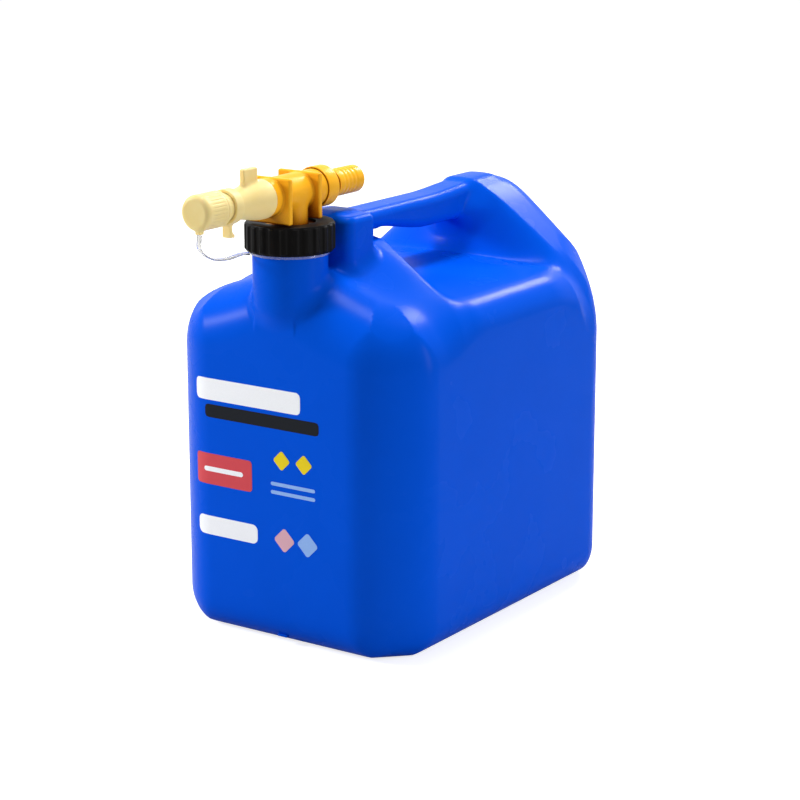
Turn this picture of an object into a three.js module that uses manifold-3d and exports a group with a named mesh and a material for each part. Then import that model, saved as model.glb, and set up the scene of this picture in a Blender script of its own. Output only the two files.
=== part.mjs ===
// Kerosene can: a blow-moulded tank with a carrying handle, a screw collar and a push-button pour nozzle.
// Lengths are millimetres, angles radians. +Z is up, the spout points along -Y and the origin is the
// centre of the base.
import * as THREE from "three";
import { mergeVertices } from "three/addons/utils/BufferGeometryUtils.js";
import Module from "manifold-3d";

const wasm = await Module();
wasm.setup();

// Tank body
const tankWidth = 243;
const tankLength = 343;
const wall = 3;
const cornerRadius = 46;
const cornerCut = 34;
const cornerBlend = 14;
const bottomFillet = 28;
const eaveFront = 46;
const eavePocket = 24;
const eaveRear = 36;

// Roof: an arched rear shoulder, a lower front shoulder and the finger pocket between them
const rearCrest = 345;
const rearCrestHalf = 20;
const rearSlopeShare = 0.84;
const rearCrownLift = 3;
const rearSoftness = 6;
const frontDrop = 39.4;
const frontCrownHalf = 20;
const frontSlopeShare = 0.36;
const frontEaveDrop = 24.6;
const frontSoftness = 3;
const frontRise = 16;
const frontRiseReach = 105;
const frontRiseLength = 59;
const pocketLipDrop = 2;
const pocketCrown = 10;
const pocketStart = 111;
const pocketFrontSlantShare = 0.34;
const pocketRearSlantShare = 0.24;
const pocketFrontWidth = 18;
const pocketRearWidth = 28;
const pocketFold = 15;
const rearShoulder = 86.5;
const frontEaveLength = 60;
const rearEaveLength = 50;

// Handle, and the block that carries its front end
const handleHalfWidth = 16;
const handleRise = 2;
const handleDepth = 19;
const handleCorner = 8;
const handleDip = 2.5;
const handleHump = 1.5;
const handleUnderDrop = 10;
const handleUnderFade = 80;
const handleBlockLap = 7.5;
const handleRearRoot = 37.5;
const gripLead = 12;
const humpLead = 55;
const humpReach = 25;
const blockStep = 16;
const blockLength = 37.5;
const blockCorner = 9;
const blockEdge = 5;
const blockRoot = 35.6;

// Neck and its thread
const neckInset = 22.5;
const neckRadius = 30;
const neckWall = 4;
const neckDrop = 8;
const neckShoulderDrop = 31.6;
const neckTaper = 24;
const threadPitch = 6;
const threadHeight = 2;
const threadRoot = 1;
const threadBaseHalf = 1.5;
const threadCrestHalf = 0.8;
const threadTopLand = 1.7;
const neckThreadTurns = 2.5;

// Base recesses and the mould's pinch-off tail
const recessDepth = 3;
const recessSide = 50;
const recessNear = 25;
const recessEnd = 51.5;
const recessCorner = 14;
const tailWidth = 10;
const tailThickness = 2.4;
const tailProud = 2.5;
const tailHeight = 8;

// Clearances
const seatGap = 0.3;
const ringGap = 0.4;
const slideGap = 0.4;
const threadGap = 0.8;
const lipGap = 1;
const ribGap = 1.2;
const blockGap = 1.5;
const overrun = 2;
const weld = 1;
const shortestEdge = 0.02;
const sameVertex = 1e-4;
const slopeProbe = 0.5;
const endSkin = 0.05;

// Screw collar, gasket and tether ring
const collarWall = 3.2;
const collarHeight = 26;
const collarLip = 2.7;
const collarThreadTurns = 2;
const collarRibs = 24;
const collarRibDepth = 1.2;
const collarEdge = 1.2;
const gasketThickness = 2;
const tetherRingWidth = 2.1;
const tetherRingHeight = 3;
const tetherRingDrop = 3;

// Nozzle body: flange, riser and horizontal barrel
const flangeThickness = 3.4;
const riserRadius = 20;
const riserWall = 4.5;
const barrelRise = 22;
const barrelRadius = 15;
const barrelWall = 3;
const barrelAhead = 35;
const barrelOverhang = 2;
const partitionLead = 23;
const partitionThickness = 6;
const chamberWall = 3.5;
const ribHalfWidth = 17.5;
const ribThickness = 4.5;
const ribRise = 16.5;
const ribCorner = 3;
const frontRibLead = 7;
const rearRibSetback = 22;

// Spout
const spoutReach = 61;
const spoutNose = 23;
const spoutShoulder = 6;
const spoutRootLip = 0.6;
const spoutWall = 1.8;
const spigotLength = 12;
const spigotWall = 0.8;
const spoutSealTube = 0.65;
const grooveSetback = 2.5;
const grooveWidth = 3;
const tabLead = 8;
const tabLength = 17;
const tabRise = 26;
const tabHalfThickness = 2.6;
const tabCorner = 3;

// Rim hook under the spout
const hookRingSetback = 1;
const hookRingLength = 9;
const hookRingWall = 2.4;
const hookDrop = 24;
const hookHalfWidth = 4;
const hookThickness = 3.2;
const hookBarb = 2.6;

// Valve train
const rodRadius = 2.5;
const headThickness = 2.6;
const valveSealThickness = 2;
const valveStep = 0.6;
const ventRadius = 2.2;
const ventWall = 0.7;
const ventGap = 0.8;
const ventBend = 18;
const ventReach = 21;
const guideLength = 4;
const guideHubWall = 0.8;
const guideRim = 1.8;
const guideSpoke = 1.8;
const guideSpokes = 3;
const rodSealTube = 1.7;
const retainerThickness = 2;
const springSeatThickness = 1;
const springSeatLip = 1.75;
const springRadius = 5.6;
const springWire = 0.65;
const springTurns = 8;
const clipThickness = 1.4;

// Thumb button and the bezel that guides it
const buttonTravel = 8;
const buttonLength = 33.4;
const buttonEdge = 2;
const buttonLip = 4.4;
const buttonCrown = 6;
const stemLap = 6;
const stemWall = 2;
const stemRoom = 1.35;
const rodSocketDepth = 10.6;
const bezelWall = 4.2;
const bezelLap = 7;
const bezelReach = 7;
const bezelEdge = 1.5;

// Dust cap and its tether
const capWall = 2.7;
const capLap = 6;
const capRoom = 6;
const capDome = 3;
const capLugSetback = 6;
const capLugHalf = 2.5;
const capLugDrop = 2.6;
const strapHalfWidth = 2.4;
const strapHalfThickness = 0.8;
const strapGap = 0.4;
const strapEndAngle = 1.3 * Math.PI;
// the strap's route, chosen by hand: share of the way back to the ring, place to the side in ring
// radii, and share of the way down
const strapRoute = [
  [0, 0, 0],
  [-0.004, 0, 0.095],
  [0, -0.015, 0.352],
  [0.118, -0.092, 0.596],
  [0.317, -0.246, 0.8],
  [0.587, -0.462, 0.935],
  [0.823, -0.677, 0.992],
  [0.944, -0.72, 1],
];

// Facet counts
const coarse = 24;
const fine = 36;
const rodSides = 12;
const sealSides = 6;
const cornerSteps = 2;
const handleCornerSteps = 3;
const ventSteps = 14;
const ventArcSteps = 5;
const strapSteps = 36;
const strapArcSteps = 4;
const springSides = 5;
const springTurnSteps = 8;
const bisections = 40;

const upright = Math.PI / 2;
const fullTurn = 4 * upright;
// turns the threads' facets clear of the neck's own
const threadOffset = upright / fine;

// Places along the tank, from the middle of its length
const halfWidth = tankWidth / 2;
const halfLength = tankLength / 2;
const neckY = neckInset - halfLength;
const pocketFront = neckY + pocketStart;
const pocketRear = halfLength - rearShoulder;
const gripFront = pocketFront - gripLead;
const gripRear = pocketRear - humpLead;
const humpEnd = pocketRear + humpReach;
const riseStart = neckY + neckRadius;

// Heights, and what stacks on the neck
const frontCrest = rearCrest - frontDrop;
const frontEave = frontCrest - frontEaveDrop;
const pocketLip = frontEave - pocketLipDrop;
const handleTop = rearCrest + handleRise;
const neckTop = handleTop - neckDrop;
const neckShoulder = frontCrest - neckShoulderDrop;
const neckFoot = neckShoulder - neckTaper;
const neckBore = neckRadius - neckWall;
const threadCrest = neckRadius + threadHeight;
const neckThreadStart = neckTop - threadTopLand - threadBaseHalf - neckThreadTurns * threadPitch;
const gasketBottom = neckTop + seatGap;
const flangeRadius = threadCrest;
const flangeBottom = gasketBottom + gasketThickness + seatGap;
const flangeTop = flangeBottom + flangeThickness;
const collarInside = threadCrest + threadGap;
const collarRadius = collarInside + collarWall;
const collarLipBottom = flangeTop + seatGap;
const collarTop = collarLipBottom + collarLip;
const collarBottom = collarTop - collarHeight;
const tetherRingTop = collarBottom - tetherRingDrop;
const axisZ = collarTop + barrelRise;
const blockFront = neckY + collarRadius + blockGap;
const blockRear = blockFront + blockLength;

// Places along the nozzle's axis, and the radii that fit one another
const barrelFront = neckY - barrelAhead;
const barrelRear = neckY + collarRadius + barrelOverhang;
const barrelBore = barrelRadius - barrelWall;
const partitionFront = barrelRear - partitionLead;
const partitionRear = partitionFront + partitionThickness;
const chamberFront = partitionRear + 2 * (rodSealTube + seatGap);
const chamberBore = barrelRadius - chamberWall;
const rodHoleRadius = rodRadius + seatGap;
const sealPocketRadius = rodHoleRadius + 2 * rodSealTube + seatGap;
const spigotRadius = barrelBore - seatGap;
const grooveRadius = spigotRadius - 2 * spoutSealTube - ringGap;
const grooveFront = barrelFront + grooveSetback;
const grooveRear = grooveFront + grooveWidth;
const spigotEnd = barrelFront + spigotLength;
const spoutBore = grooveRadius - spigotWall;
const spoutTip = barrelFront - spoutReach;
const spoutTipRadius = spoutBore + spoutWall;
const spoutRootRadius = barrelRadius + spoutRootLip;
const bezelRadius = barrelRadius + seatGap + bezelWall;
const bezelFront = barrelRear - bezelLap;
const bezelRear = barrelRear + bezelReach;
const stemBore = springRadius + springWire + stemRoom;
const stemRadius = stemBore + stemWall;
const stemFront = bezelRear - stemLap;
const buttonFront = bezelRear + buttonTravel + 2 * seatGap;
const buttonRear = buttonFront + buttonLength;
const buttonRadius = stemRadius + buttonLip;
const rodSocketEnd = buttonRear - buttonCrown;
const stemBoreEnd = rodSocketEnd - rodSocketDepth;

// The valve train, from the tip back to the button
const valveSealRear = spoutTip - seatGap;
const valveSealFront = valveSealRear - valveSealThickness;
const valveSealRadius = spoutTipRadius - valveStep;
const headRear = valveSealFront - seatGap;
const headFront = headRear - headThickness;
const headRadius = valveSealRadius - valveStep;
const rodFront = headFront + headThickness / 2;
const rodEnd = rodSocketEnd - weld;
const ventDrop = spoutBore - ventRadius - ventGap;
const guideHub = rodHoleRadius + guideHubWall;
const retainerFront = chamberFront + seatGap;
const retainerRear = retainerFront + retainerThickness;
const springSeatFront = retainerRear + seatGap;
const springSeatRear = springSeatFront + springSeatThickness;
const springSeatRadius = springRadius + springWire + springSeatLip;
const clipRear = stemBoreEnd - seatGap;
const clipFront = clipRear - clipThickness;
const clipRadius = stemBore - 2 * seatGap;
const springFront = springSeatRear + seatGap + springWire;
const springRear = clipFront - seatGap - springWire;
const capMouth = spoutTip + capLap;
const capEnd = headFront - buttonTravel - capRoom - capWall;
const capInside = spoutTipRadius + seatGap;
const capOutside = capInside + capWall;

// The tether's ends: under the cap's lug, and beside the ring at the neck
const capLugY = capEnd + capLugSetback;
const capLugBottom = axisZ - capOutside - capLugDrop;
const tetherRingInner = neckRadius + ringGap;
const tetherRingOuter = tetherRingInner + tetherRingWidth;
const tetherRingBottom = tetherRingTop - tetherRingHeight;
const strapStartZ = capLugBottom - strapGap;
const strapEndReach = tetherRingOuter + strapGap;
const strapEndX = strapEndReach * Math.cos(strapEndAngle);
const strapEndY = neckY + strapEndReach * Math.sin(strapEndAngle);
const strapEndZ = tetherRingBottom + tetherRingHeight / 2;

// Small maths helpers

// The larger of two signed distances, with the edge between them rounded to a radius.
function roundMax(p, q, radius) {
  const a = p + radius;
  const b = q + radius;
  return Math.min(Math.max(a, b), 0) + Math.hypot(Math.max(a, 0), Math.max(b, 0)) - radius;
}

// The larger of two heights, blended over a softness.
function softMax(a, b, softness) {
  const high = Math.max(a, b);
  return high + softness * Math.log1p(Math.exp(-Math.abs(a - b) / softness));
}

function ramp(value, low, high) {
  return THREE.MathUtils.smoothstep(value, low, high);
}

// Solids: three.js geometries in, joined or cut by manifold-3d, a BufferGeometry out.

function solid(geometry) {
  const bare = geometry.index ? geometry.toNonIndexed() : geometry.clone();
  bare.deleteAttribute("normal");
  bare.deleteAttribute("uv");
  const merged = mergeVertices(bare, sameVertex);
  return new wasm.Manifold(new wasm.Mesh({
    numProp: 3,
    vertProperties: merged.attributes.position.array,
    triVerts: new Uint32Array(merged.index.array),
  }));
}

function bufferOf(manifold) {
  const mesh = manifold.getMesh();
  const geometry = new THREE.BufferGeometry();
  const positions = new Float32Array(mesh.vertProperties);
  geometry.setAttribute("position", new THREE.BufferAttribute(positions, 3));
  geometry.setIndex(new THREE.BufferAttribute(new Uint32Array(mesh.triVerts), 1));
  return geometry;
}

// The tolerance collapses the slivers that joins and cuts leave.
function geometryOf(manifold) {
  const flat = bufferOf(manifold.setTolerance(shortestEdge)).toNonIndexed();
  flat.computeVertexNormals();
  return flat;
}

function joined(...geometries) {
  return geometries.map((geometry) => solid(geometry)).reduce((whole, next) => whole.add(next));
}

function less(whole, ...cuts) {
  return cuts.map((cut) => solid(cut)).reduce((rest, cut) => rest.subtract(cut), whole);
}

// A closed solid through rings of points, all with the same count, capped at both ends.
function loft(rings) {
  const count = rings[0].length;
  const positions = rings.flat().flatMap((point) => [point.x, point.y, point.z]);
  const index = [];
  for (let ring = 0; ring + 1 < rings.length; ring += 1) {
    for (let i = 0; i < count; i += 1) {
      const a = ring * count + i;
      const b = ring * count + ((i + 1) % count);
      index.push(a, b, b + count, a, b + count, a + count);
    }
  }
  [0, rings.length - 1].forEach((ring) => {
    const total = rings[ring].reduce((sum, point) => sum.add(point), new THREE.Vector3());
    const centre = total.divideScalar(count);
    const middle = positions.length / 3;
    positions.push(centre.x, centre.y, centre.z);
    for (let i = 0; i < count; i += 1) {
      const a = ring * count + i;
      const b = ring * count + ((i + 1) % count);
      index.push(...(ring === 0 ? [b, a, middle] : [a, b, middle]));
    }
  });
  const geometry = new THREE.BufferGeometry();
  geometry.setAttribute("position", new THREE.Float32BufferAttribute(positions, 3));
  geometry.setIndex(index);
  return geometry;
}

function roundedRect(width, height, radius, midX = 0, midY = 0) {
  const x = midX + width / 2 - radius;
  const y = midY + height / 2 - radius;
  const left = midX - width / 2 + radius;
  const low = midY - height / 2 + radius;
  const shape = new THREE.Shape();
  shape.absarc(x, y, radius, 0, upright);
  shape.absarc(left, y, radius, upright, Math.PI);
  shape.absarc(left, low, radius, Math.PI, 3 * upright);
  shape.absarc(x, low, radius, 3 * upright, fullTurn);
  return shape;
}

// A solid of revolution about Z from [radius, z] points that close on themselves.
function turned(points, segments = fine) {
  const outline = [...points, points[0]].map(([radius, z]) => new THREE.Vector2(radius, z));
  return new THREE.LatheGeometry(outline, segments).rotateX(upright);
}

// The same about the nozzle's axis, from [radius, y] points.
function turnedAlongY(points, segments = coarse) {
  const outline = [...points, points[0]].map(([radius, y]) => new THREE.Vector2(radius, y));
  return new THREE.LatheGeometry(outline, segments).translate(0, 0, axisZ);
}

function tubeAlongY(outer, inner, from, to, segments = coarse) {
  return turnedAlongY([[inner, from], [outer, from], [outer, to], [inner, to]], segments);
}

function rodAlongY(radius, from, to, segments = coarse) {
  return turnedAlongY([[0, from], [radius, from], [radius, to], [0, to]], segments);
}

// Tank: a rounded column under a roof, sampled section by section along Y

function planDistance(x, y) {
  const ax = Math.abs(x) - halfWidth + cornerRadius;
  const ay = Math.abs(y) - halfLength + cornerRadius;
  const box = Math.min(Math.max(ax, ay), 0) + Math.hypot(Math.max(ax, 0), Math.max(ay, 0)) - cornerRadius;
  const chamfer = (Math.abs(x) + Math.abs(y) - halfWidth - halfLength + cornerCut) * Math.SQRT1_2;
  return roundMax(box, chamfer, cornerBlend);
}

// Distance to the side, eased at the middle so that nothing folds there.
function sideways(x) {
  return Math.hypot(x, pocketFold) - pocketFold;
}

function roofHeight(x, y) {
  const side = Math.abs(x);
  const crown = Math.max(1 - sideways(x) / frontRiseReach, 0);
  const rise = frontRise * ramp(y, riseStart, riseStart + frontRiseLength) * crown;
  const frontLine = frontCrest - frontSlopeShare * Math.max(side - frontCrownHalf, 0) + rise;
  const front = softMax(frontLine, frontEave, frontSoftness);
  const rearLine = rearCrest - rearSlopeShare * (side - rearCrestHalf);
  const rear = rearCrownLift - softMax(-rearLine, -rearCrest, rearSoftness);
  const floor = pocketLip + pocketCrown * crown;
  const frontEdge = pocketFront - pocketFrontSlantShare * sideways(x);
  const rearEdge = pocketRear + pocketRearSlantShare * sideways(x);
  const ahead = 1 - ramp(y, frontEdge - pocketFrontWidth / 2, frontEdge + pocketFrontWidth / 2);
  const behind = ramp(y, rearEdge - pocketRearWidth / 2, rearEdge + pocketRearWidth / 2);
  return floor + (front - floor) * ahead + (rear - floor) * behind;
}

function eaveRadius(y) {
  const ahead = 1 - ramp(y, gripFront - frontEaveLength, gripFront);
  const behind = ramp(y, humpEnd - rearEaveLength, humpEnd);
  return eavePocket + (eaveFront - eavePocket) * ahead + (eaveRear - eavePocket) * behind;
}

// Signed distance to the tank's outside, without the neck and the handle.
function tankDistance(x, y, z) {
  const span = 2 * slopeProbe;
  const slopeX = (roofHeight(x + slopeProbe, y) - roofHeight(x - slopeProbe, y)) / span;
  const slopeY = (roofHeight(x, y + slopeProbe) - roofHeight(x, y - slopeProbe)) / span;
  const above = (z - roofHeight(x, y)) / Math.hypot(1, slopeX, slopeY);
  return roundMax(roundMax(planDistance(x, y), above, eaveRadius(y)), -z, bottomFillet);
}

// Sections crowd where the surface turns: near both ends, and at the pocket's slanted edges.
const endReach = cornerRadius + cornerBlend + wall;
const endShares = [0, 0.025, 0.11, 0.25, 0.45, 0.7, 1];
const edgeShares = [-0.5, -0.18, 0.18, 0.5];
const frontShares = [0.3, 0.6];
const pocketShares = [0.25, 0.5, 0.75];

function sectionLines(inset) {
  const reach = halfLength - inset;
  const end = endShares.map((share) => endReach * share);
  const frontStart = endReach - reach;
  const frontLength = pocketFront - frontStart;
  const pocketLength = pocketRear - pocketFront;
  return [
    ...end.map((depth) => [depth - reach, 0]),
    ...frontShares.map((share) => [
      frontStart + frontLength * share,
      pocketFrontSlantShare * share * share,
    ]),
    ...edgeShares.map((share) => [pocketFront + inset + pocketFrontWidth * share, pocketFrontSlantShare]),
    ...pocketShares.map((share) => [
      pocketFront + pocketLength * share,
      pocketFrontSlantShare * (1 - share) * (1 - share),
    ]),
    ...edgeShares.map((share) => [pocketRear - inset + pocketRearWidth * share, -pocketRearSlantShare]),
    ...end.toReversed().map((depth) => [reach - depth, -pocketRearSlantShare * (depth / endReach) ** 2]),
  ];
}

// Ring targets from the bottom's middle to the roof's middle: [share of half width, share of height]
const ringShares = [
  [0.5, 0], [0.77, 0], [0.9, 0.014], [0.965, 0.045], [0.995, 0.085], [1, 0.11], [1, 0.8], [0.995, 0.87],
  [0.972, 0.94], [0.93, 0.98], [0.865, 1], [0.75, 1], [0.59, 1], [0.43, 1], [0.27, 1], [0.12, 1],
];

const searchShare = 2;

function rootOf(distance, inside, outside) {
  let low = inside;
  let high = outside;
  for (let step = 0; step < bisections; step += 1) {
    const middle = (low + high) / 2;
    if (distance(middle) < 0) low = middle;
    else high = middle;
  }
  return (low + high) / 2;
}

function tankShell(inset) {
  const midZ = pocketLip / 2;
  const rings = sectionLines(inset).map(([line, slant], at, lines) => {
    const last = at === 0 || at === lines.length - 1;
    const drawn = last ? line - Math.sign(line) * endSkin : line;
    const lineAt = (x) => drawn - slant * sideways(x);
    const reachX = rootOf((x) => planDistance(x, lineAt(x)) + inset, 0, tankWidth);
    const pointAt = (sideShare, heightShare, side) => {
      const targetX = side * sideShare * reachX;
      const targetZ = heightShare * roofHeight(targetX, lineAt(targetX)) - midZ;
      const depthAt = (share) => {
        const x = targetX * share;
        return tankDistance(x, lineAt(x), midZ + targetZ * share) + inset;
      };
      const reachShare = rootOf(depthAt, 0, searchShare);
      const x = targetX * reachShare;
      return new THREE.Vector3(x, last ? line : lineAt(x), midZ + targetZ * reachShare);
    };
    return [
      pointAt(0, 0, 1),
      ...ringShares.map((shares) => pointAt(...shares, -1)),
      pointAt(0, 1, 1),
      ...ringShares.toReversed().map((shares) => pointAt(...shares, 1)),
    ];
  });
  return loft(rings);
}

// Handle bar between the block and the rear shoulder, as rounded sections along Y
const handleShares = [0, 0.16, 0.25, 0.36, 0.47, 0.58, 0.69, 0.8, 0.9, 1];

function handleBar(inset) {
  const front = blockFront + handleBlockLap;
  const rear = halfLength - handleRearRoot;
  const length = rear - front - 2 * inset;
  const rings = handleShares.map((share) => {
    const y = front + inset + length * share;
    const hump = ramp(y, gripRear, humpEnd);
    const dip = ramp(y, front, gripFront) * (1 - hump);
    const top = handleTop - handleDip * dip + handleHump * hump - inset;
    const drop = handleUnderDrop * ramp(y, gripRear - handleUnderFade, gripRear);
    const under = handleTop - handleDepth - drop + inset;
    const width = 2 * (handleHalfWidth - inset);
    const outline = roundedRect(width, top - under, handleCorner - inset, 0, (top + under) / 2);
    const points = outline.getPoints(handleCornerSteps).slice(0, -1);
    return points.map((point) => new THREE.Vector3(point.x, y, point.y)).reverse();
  });
  return loft(rings);
}

function handleBlock(inset) {
  const edge = inset ? 0 : blockEdge;
  const shrink = inset + edge;
  const foot = frontCrest - blockRoot;
  const width = 2 * (handleHalfWidth + blockStep - shrink);
  const length = blockLength - 2 * shrink;
  const middle = (blockRear + blockFront) / 2;
  return new THREE.ExtrudeGeometry(roundedRect(width, length, blockCorner - shrink, 0, middle), {
    depth: handleTop - foot - inset - 2 * edge,
    bevelEnabled: edge > 0,
    bevelSize: edge,
    bevelThickness: edge,
    bevelSegments: cornerSteps,
    curveSegments: cornerSteps,
  }).translate(0, 0, foot + edge);
}

// One closed helical ridge about the neck's axis, outward or inward
function threadRidge(rootRadius, crestRadius, startZ, turns) {
  const steps = Math.round(turns * coarse);
  const rings = Array.from({ length: steps + 1 }, (_, step) => {
    const angle = threadOffset + (step / coarse) * fullTurn;
    const z = startZ + (step / coarse) * threadPitch;
    const at = (radius, lift) =>
      new THREE.Vector3(radius * Math.cos(angle), radius * Math.sin(angle), z + lift);
    const section = [
      at(rootRadius, -threadBaseHalf), at(crestRadius, -threadCrestHalf),
      at(crestRadius, threadCrestHalf), at(rootRadius, threadBaseHalf),
    ];
    return crestRadius > rootRadius ? section.reverse() : section;
  });
  return loft(rings);
}

function atNeck(geometry) {
  return geometry.translate(0, neckY, 0);
}

function recess(grow) {
  const far = halfLength - recessEnd;
  const middle = (recessNear + far) / 2;
  const width = tankWidth - 2 * (recessSide - grow);
  const length = far - recessNear + 2 * grow;
  return [-middle, middle].map((y) => {
    const outline = roundedRect(width, length, recessCorner + grow, 0, y);
    const depth = recessDepth + grow + overrun;
    return new THREE.ExtrudeGeometry(outline, { depth, bevelEnabled: false, curveSegments: cornerSteps })
      .translate(0, 0, -overrun);
  });
}

function tankGeometry() {
  const neck = atNeck(turned([
    [0, neckFoot],
    [neckInset, neckFoot],
    [neckRadius, neckShoulder],
    [neckRadius, neckTop],
    [0, neckTop],
  ]));
  const bore = atNeck(turned([
    [0, neckFoot],
    [neckInset - neckWall, neckFoot],
    [neckBore, neckShoulder],
    [neckBore, neckTop + overrun],
    [0, neckTop + overrun],
  ]));
  const ridge = threadRidge(neckRadius - threadRoot, threadCrest, neckThreadStart, neckThreadTurns);
  const tailY = bottomFillet * (1 - Math.SQRT1_2) - halfLength;
  const tail = new THREE.BoxGeometry(tailWidth, 2 * tailProud, tailThickness)
    .translate(0, tailY, tailHeight);
  const whole = joined(tankShell(0), handleBar(0), handleBlock(0), neck, atNeck(ridge), tail);
  const hollow = joined(tankShell(wall), handleBar(wall), handleBlock(wall));
  const inside = less(hollow, ...recess(wall)).add(solid(bore));
  return geometryOf(less(whole, ...recess(0)).subtract(inside));
}

// Neck furniture

// Each rib of the collar's outline, as shares of its angle: [share, 1 on the crest or 0 in the valley]
const ribShares = [[0, 1], [0.45, 1], [0.6, 0], [0.85, 0]];

function collarGeometry() {
  const valley = collarRadius - collarEdge - collarRibDepth;
  const points = Array.from({ length: collarRibs }, (_, rib) => ribShares.map(([share, crestShare]) => {
    const angle = ((rib + share) / collarRibs) * fullTurn;
    const radius = valley + collarRibDepth * crestShare;
    return new THREE.Vector2(radius * Math.cos(angle), radius * Math.sin(angle));
  })).flat();
  const body = new THREE.ExtrudeGeometry(new THREE.Shape(points), {
    depth: collarHeight - 2 * collarEdge,
    bevelSize: collarEdge,
    bevelThickness: collarEdge,
    bevelSegments: 1,
  }).translate(0, 0, collarBottom + collarEdge);
  const hollow = turned([
    [0, collarBottom - overrun],
    [collarInside, collarBottom - overrun],
    [collarInside, collarLipBottom],
    [riserRadius + lipGap, collarLipBottom],
    [riserRadius + lipGap, collarTop + overrun],
    [0, collarTop + overrun],
  ]);
  const ridgeStart = neckThreadStart + threadPitch / 2;
  const ridgeCrest = neckRadius + threadGap;
  const ridge = threadRidge(collarInside + threadRoot, ridgeCrest, ridgeStart, collarThreadTurns);
  return atNeck(geometryOf(less(solid(body), hollow).add(solid(ridge))));
}

function ringAtNeck(inner, outer, bottom, height) {
  const top = bottom + height;
  return atNeck(turned([[inner, bottom], [outer, bottom], [outer, top], [inner, top]]));
}

function gasketGeometry() {
  return ringAtNeck(neckBore + seatGap, flangeRadius, gasketBottom, gasketThickness);
}

function tetherRingGeometry() {
  return ringAtNeck(tetherRingInner, tetherRingOuter, tetherRingBottom, tetherRingHeight);
}

// Nozzle

// An upright web across the barrel, its foot just above the collar
function barrelRib(y) {
  const foot = collarTop + ribGap;
  const top = axisZ + ribRise;
  const outline = roundedRect(2 * ribHalfWidth, top - foot, ribCorner, 0, (top + foot) / 2);
  return new THREE.ExtrudeGeometry(outline, {
    depth: ribThickness,
    bevelEnabled: false,
    curveSegments: cornerSteps,
  }).rotateX(upright).translate(0, y + ribThickness / 2, 0);
}

function nozzleBodyGeometry() {
  const riser = atNeck(turned([
    [0, flangeBottom],
    [flangeRadius, flangeBottom],
    [flangeRadius, flangeTop],
    [riserRadius, flangeTop],
    [riserRadius, axisZ],
    [0, axisZ],
  ]));
  const riserBore = riserRadius - riserWall;
  const riserHole = atNeck(turned([
    [0, flangeBottom - overrun],
    [riserBore, flangeBottom - overrun],
    [riserBore, axisZ - barrelBore / 2],
    [0, axisZ - barrelBore / 2],
  ], coarse));
  const barrel = rodAlongY(barrelRadius, barrelFront, barrelRear);
  const flow = rodAlongY(barrelBore, barrelFront - overrun, partitionFront);
  const rear = turnedAlongY([
    [0, partitionRear],
    [sealPocketRadius, partitionRear],
    [sealPocketRadius, chamberFront],
    [chamberBore, chamberFront],
    [chamberBore, barrelRear + overrun],
    [0, barrelRear + overrun],
  ]);
  const rodHole = rodAlongY(rodRadius + slideGap, partitionFront - overrun, partitionRear + overrun);
  const frontRib = barrelRib(neckY - frontRibLead);
  const rearRib = barrelRib(neckY + rearRibSetback);
  return geometryOf(less(joined(riser, barrel, frontRib, rearRib), riserHole, flow, rear, rodHole));
}

function spoutGeometry() {
  const seat = barrelFront - seatGap;
  const tube = turnedAlongY([
    [spoutBore, spoutTip],
    [spoutTipRadius, spoutTip],
    [spoutTipRadius, spoutTip + spoutNose],
    [spoutRootRadius, barrelFront - spoutShoulder],
    [spoutRootRadius, seat],
    [spigotRadius, seat],
    [spigotRadius, grooveFront],
    [grooveRadius, grooveFront],
    [grooveRadius, grooveRear],
    [spigotRadius, grooveRear],
    [spigotRadius, spigotEnd],
    [spoutBore, spigotEnd],
  ]);
  const tabRear = barrelFront - tabLead;
  const tabFront = tabRear - tabLength;
  const tabFoot = axisZ + spoutTipRadius;
  const tabTop = axisZ + tabRise;
  const tabOutline = new THREE.Shape();
  tabOutline.moveTo(tabFront, tabFoot);
  tabOutline.lineTo(tabRear, tabFoot);
  tabOutline.lineTo(tabRear, tabTop - tabCorner);
  tabOutline.absarc(tabRear - tabCorner, tabTop - tabCorner, tabCorner, 0, upright);
  tabOutline.lineTo(tabFront + 2 * tabCorner, tabTop);
  tabOutline.absarc(tabFront + 2 * tabCorner, tabTop - tabCorner, tabCorner, upright, Math.PI);
  const tab = new THREE.ExtrudeGeometry(tabOutline, {
    depth: 2 * tabHalfThickness,
    bevelEnabled: false,
    curveSegments: cornerSteps,
  }).rotateX(upright).rotateZ(upright).translate(-tabHalfThickness, 0, 0);
  const bore = rodAlongY(spoutBore, spoutTip - overrun, spigotEnd + overrun);
  return geometryOf(less(joined(tube, tab), bore));
}

function sealRing(radius, tube, y) {
  return new THREE.TorusGeometry(radius, tube, sealSides, coarse).rotateX(upright).translate(0, y, axisZ);
}

function rimHookGeometry() {
  const inner = spoutTipRadius + seatGap;
  const rear = spoutTip + spoutNose - hookRingSetback;
  const ring = tubeAlongY(inner + hookRingWall, inner, rear - hookRingLength, rear);
  const front = rear - (hookRingLength + hookThickness) / 2;
  const back = front + hookThickness;
  const root = axisZ - inner - hookRingWall / 2;
  const tip = axisZ - hookDrop;
  const outline = new THREE.Shape();
  outline.moveTo(front - hookBarb, root);
  outline.lineTo(front, root - hookBarb);
  outline.lineTo(front, tip + hookBarb);
  outline.lineTo((front + back) / 2, tip);
  outline.lineTo(back + hookBarb, tip + hookBarb);
  outline.lineTo(back, tip + 2 * hookBarb);
  outline.lineTo(back, root);
  const arm = new THREE.ExtrudeGeometry(outline, { depth: 2 * hookHalfWidth, bevelEnabled: false })
    .rotateX(upright).rotateZ(upright).translate(-hookHalfWidth, 0, 0);
  return geometryOf(joined(ring, arm));
}

// Valve train

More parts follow.
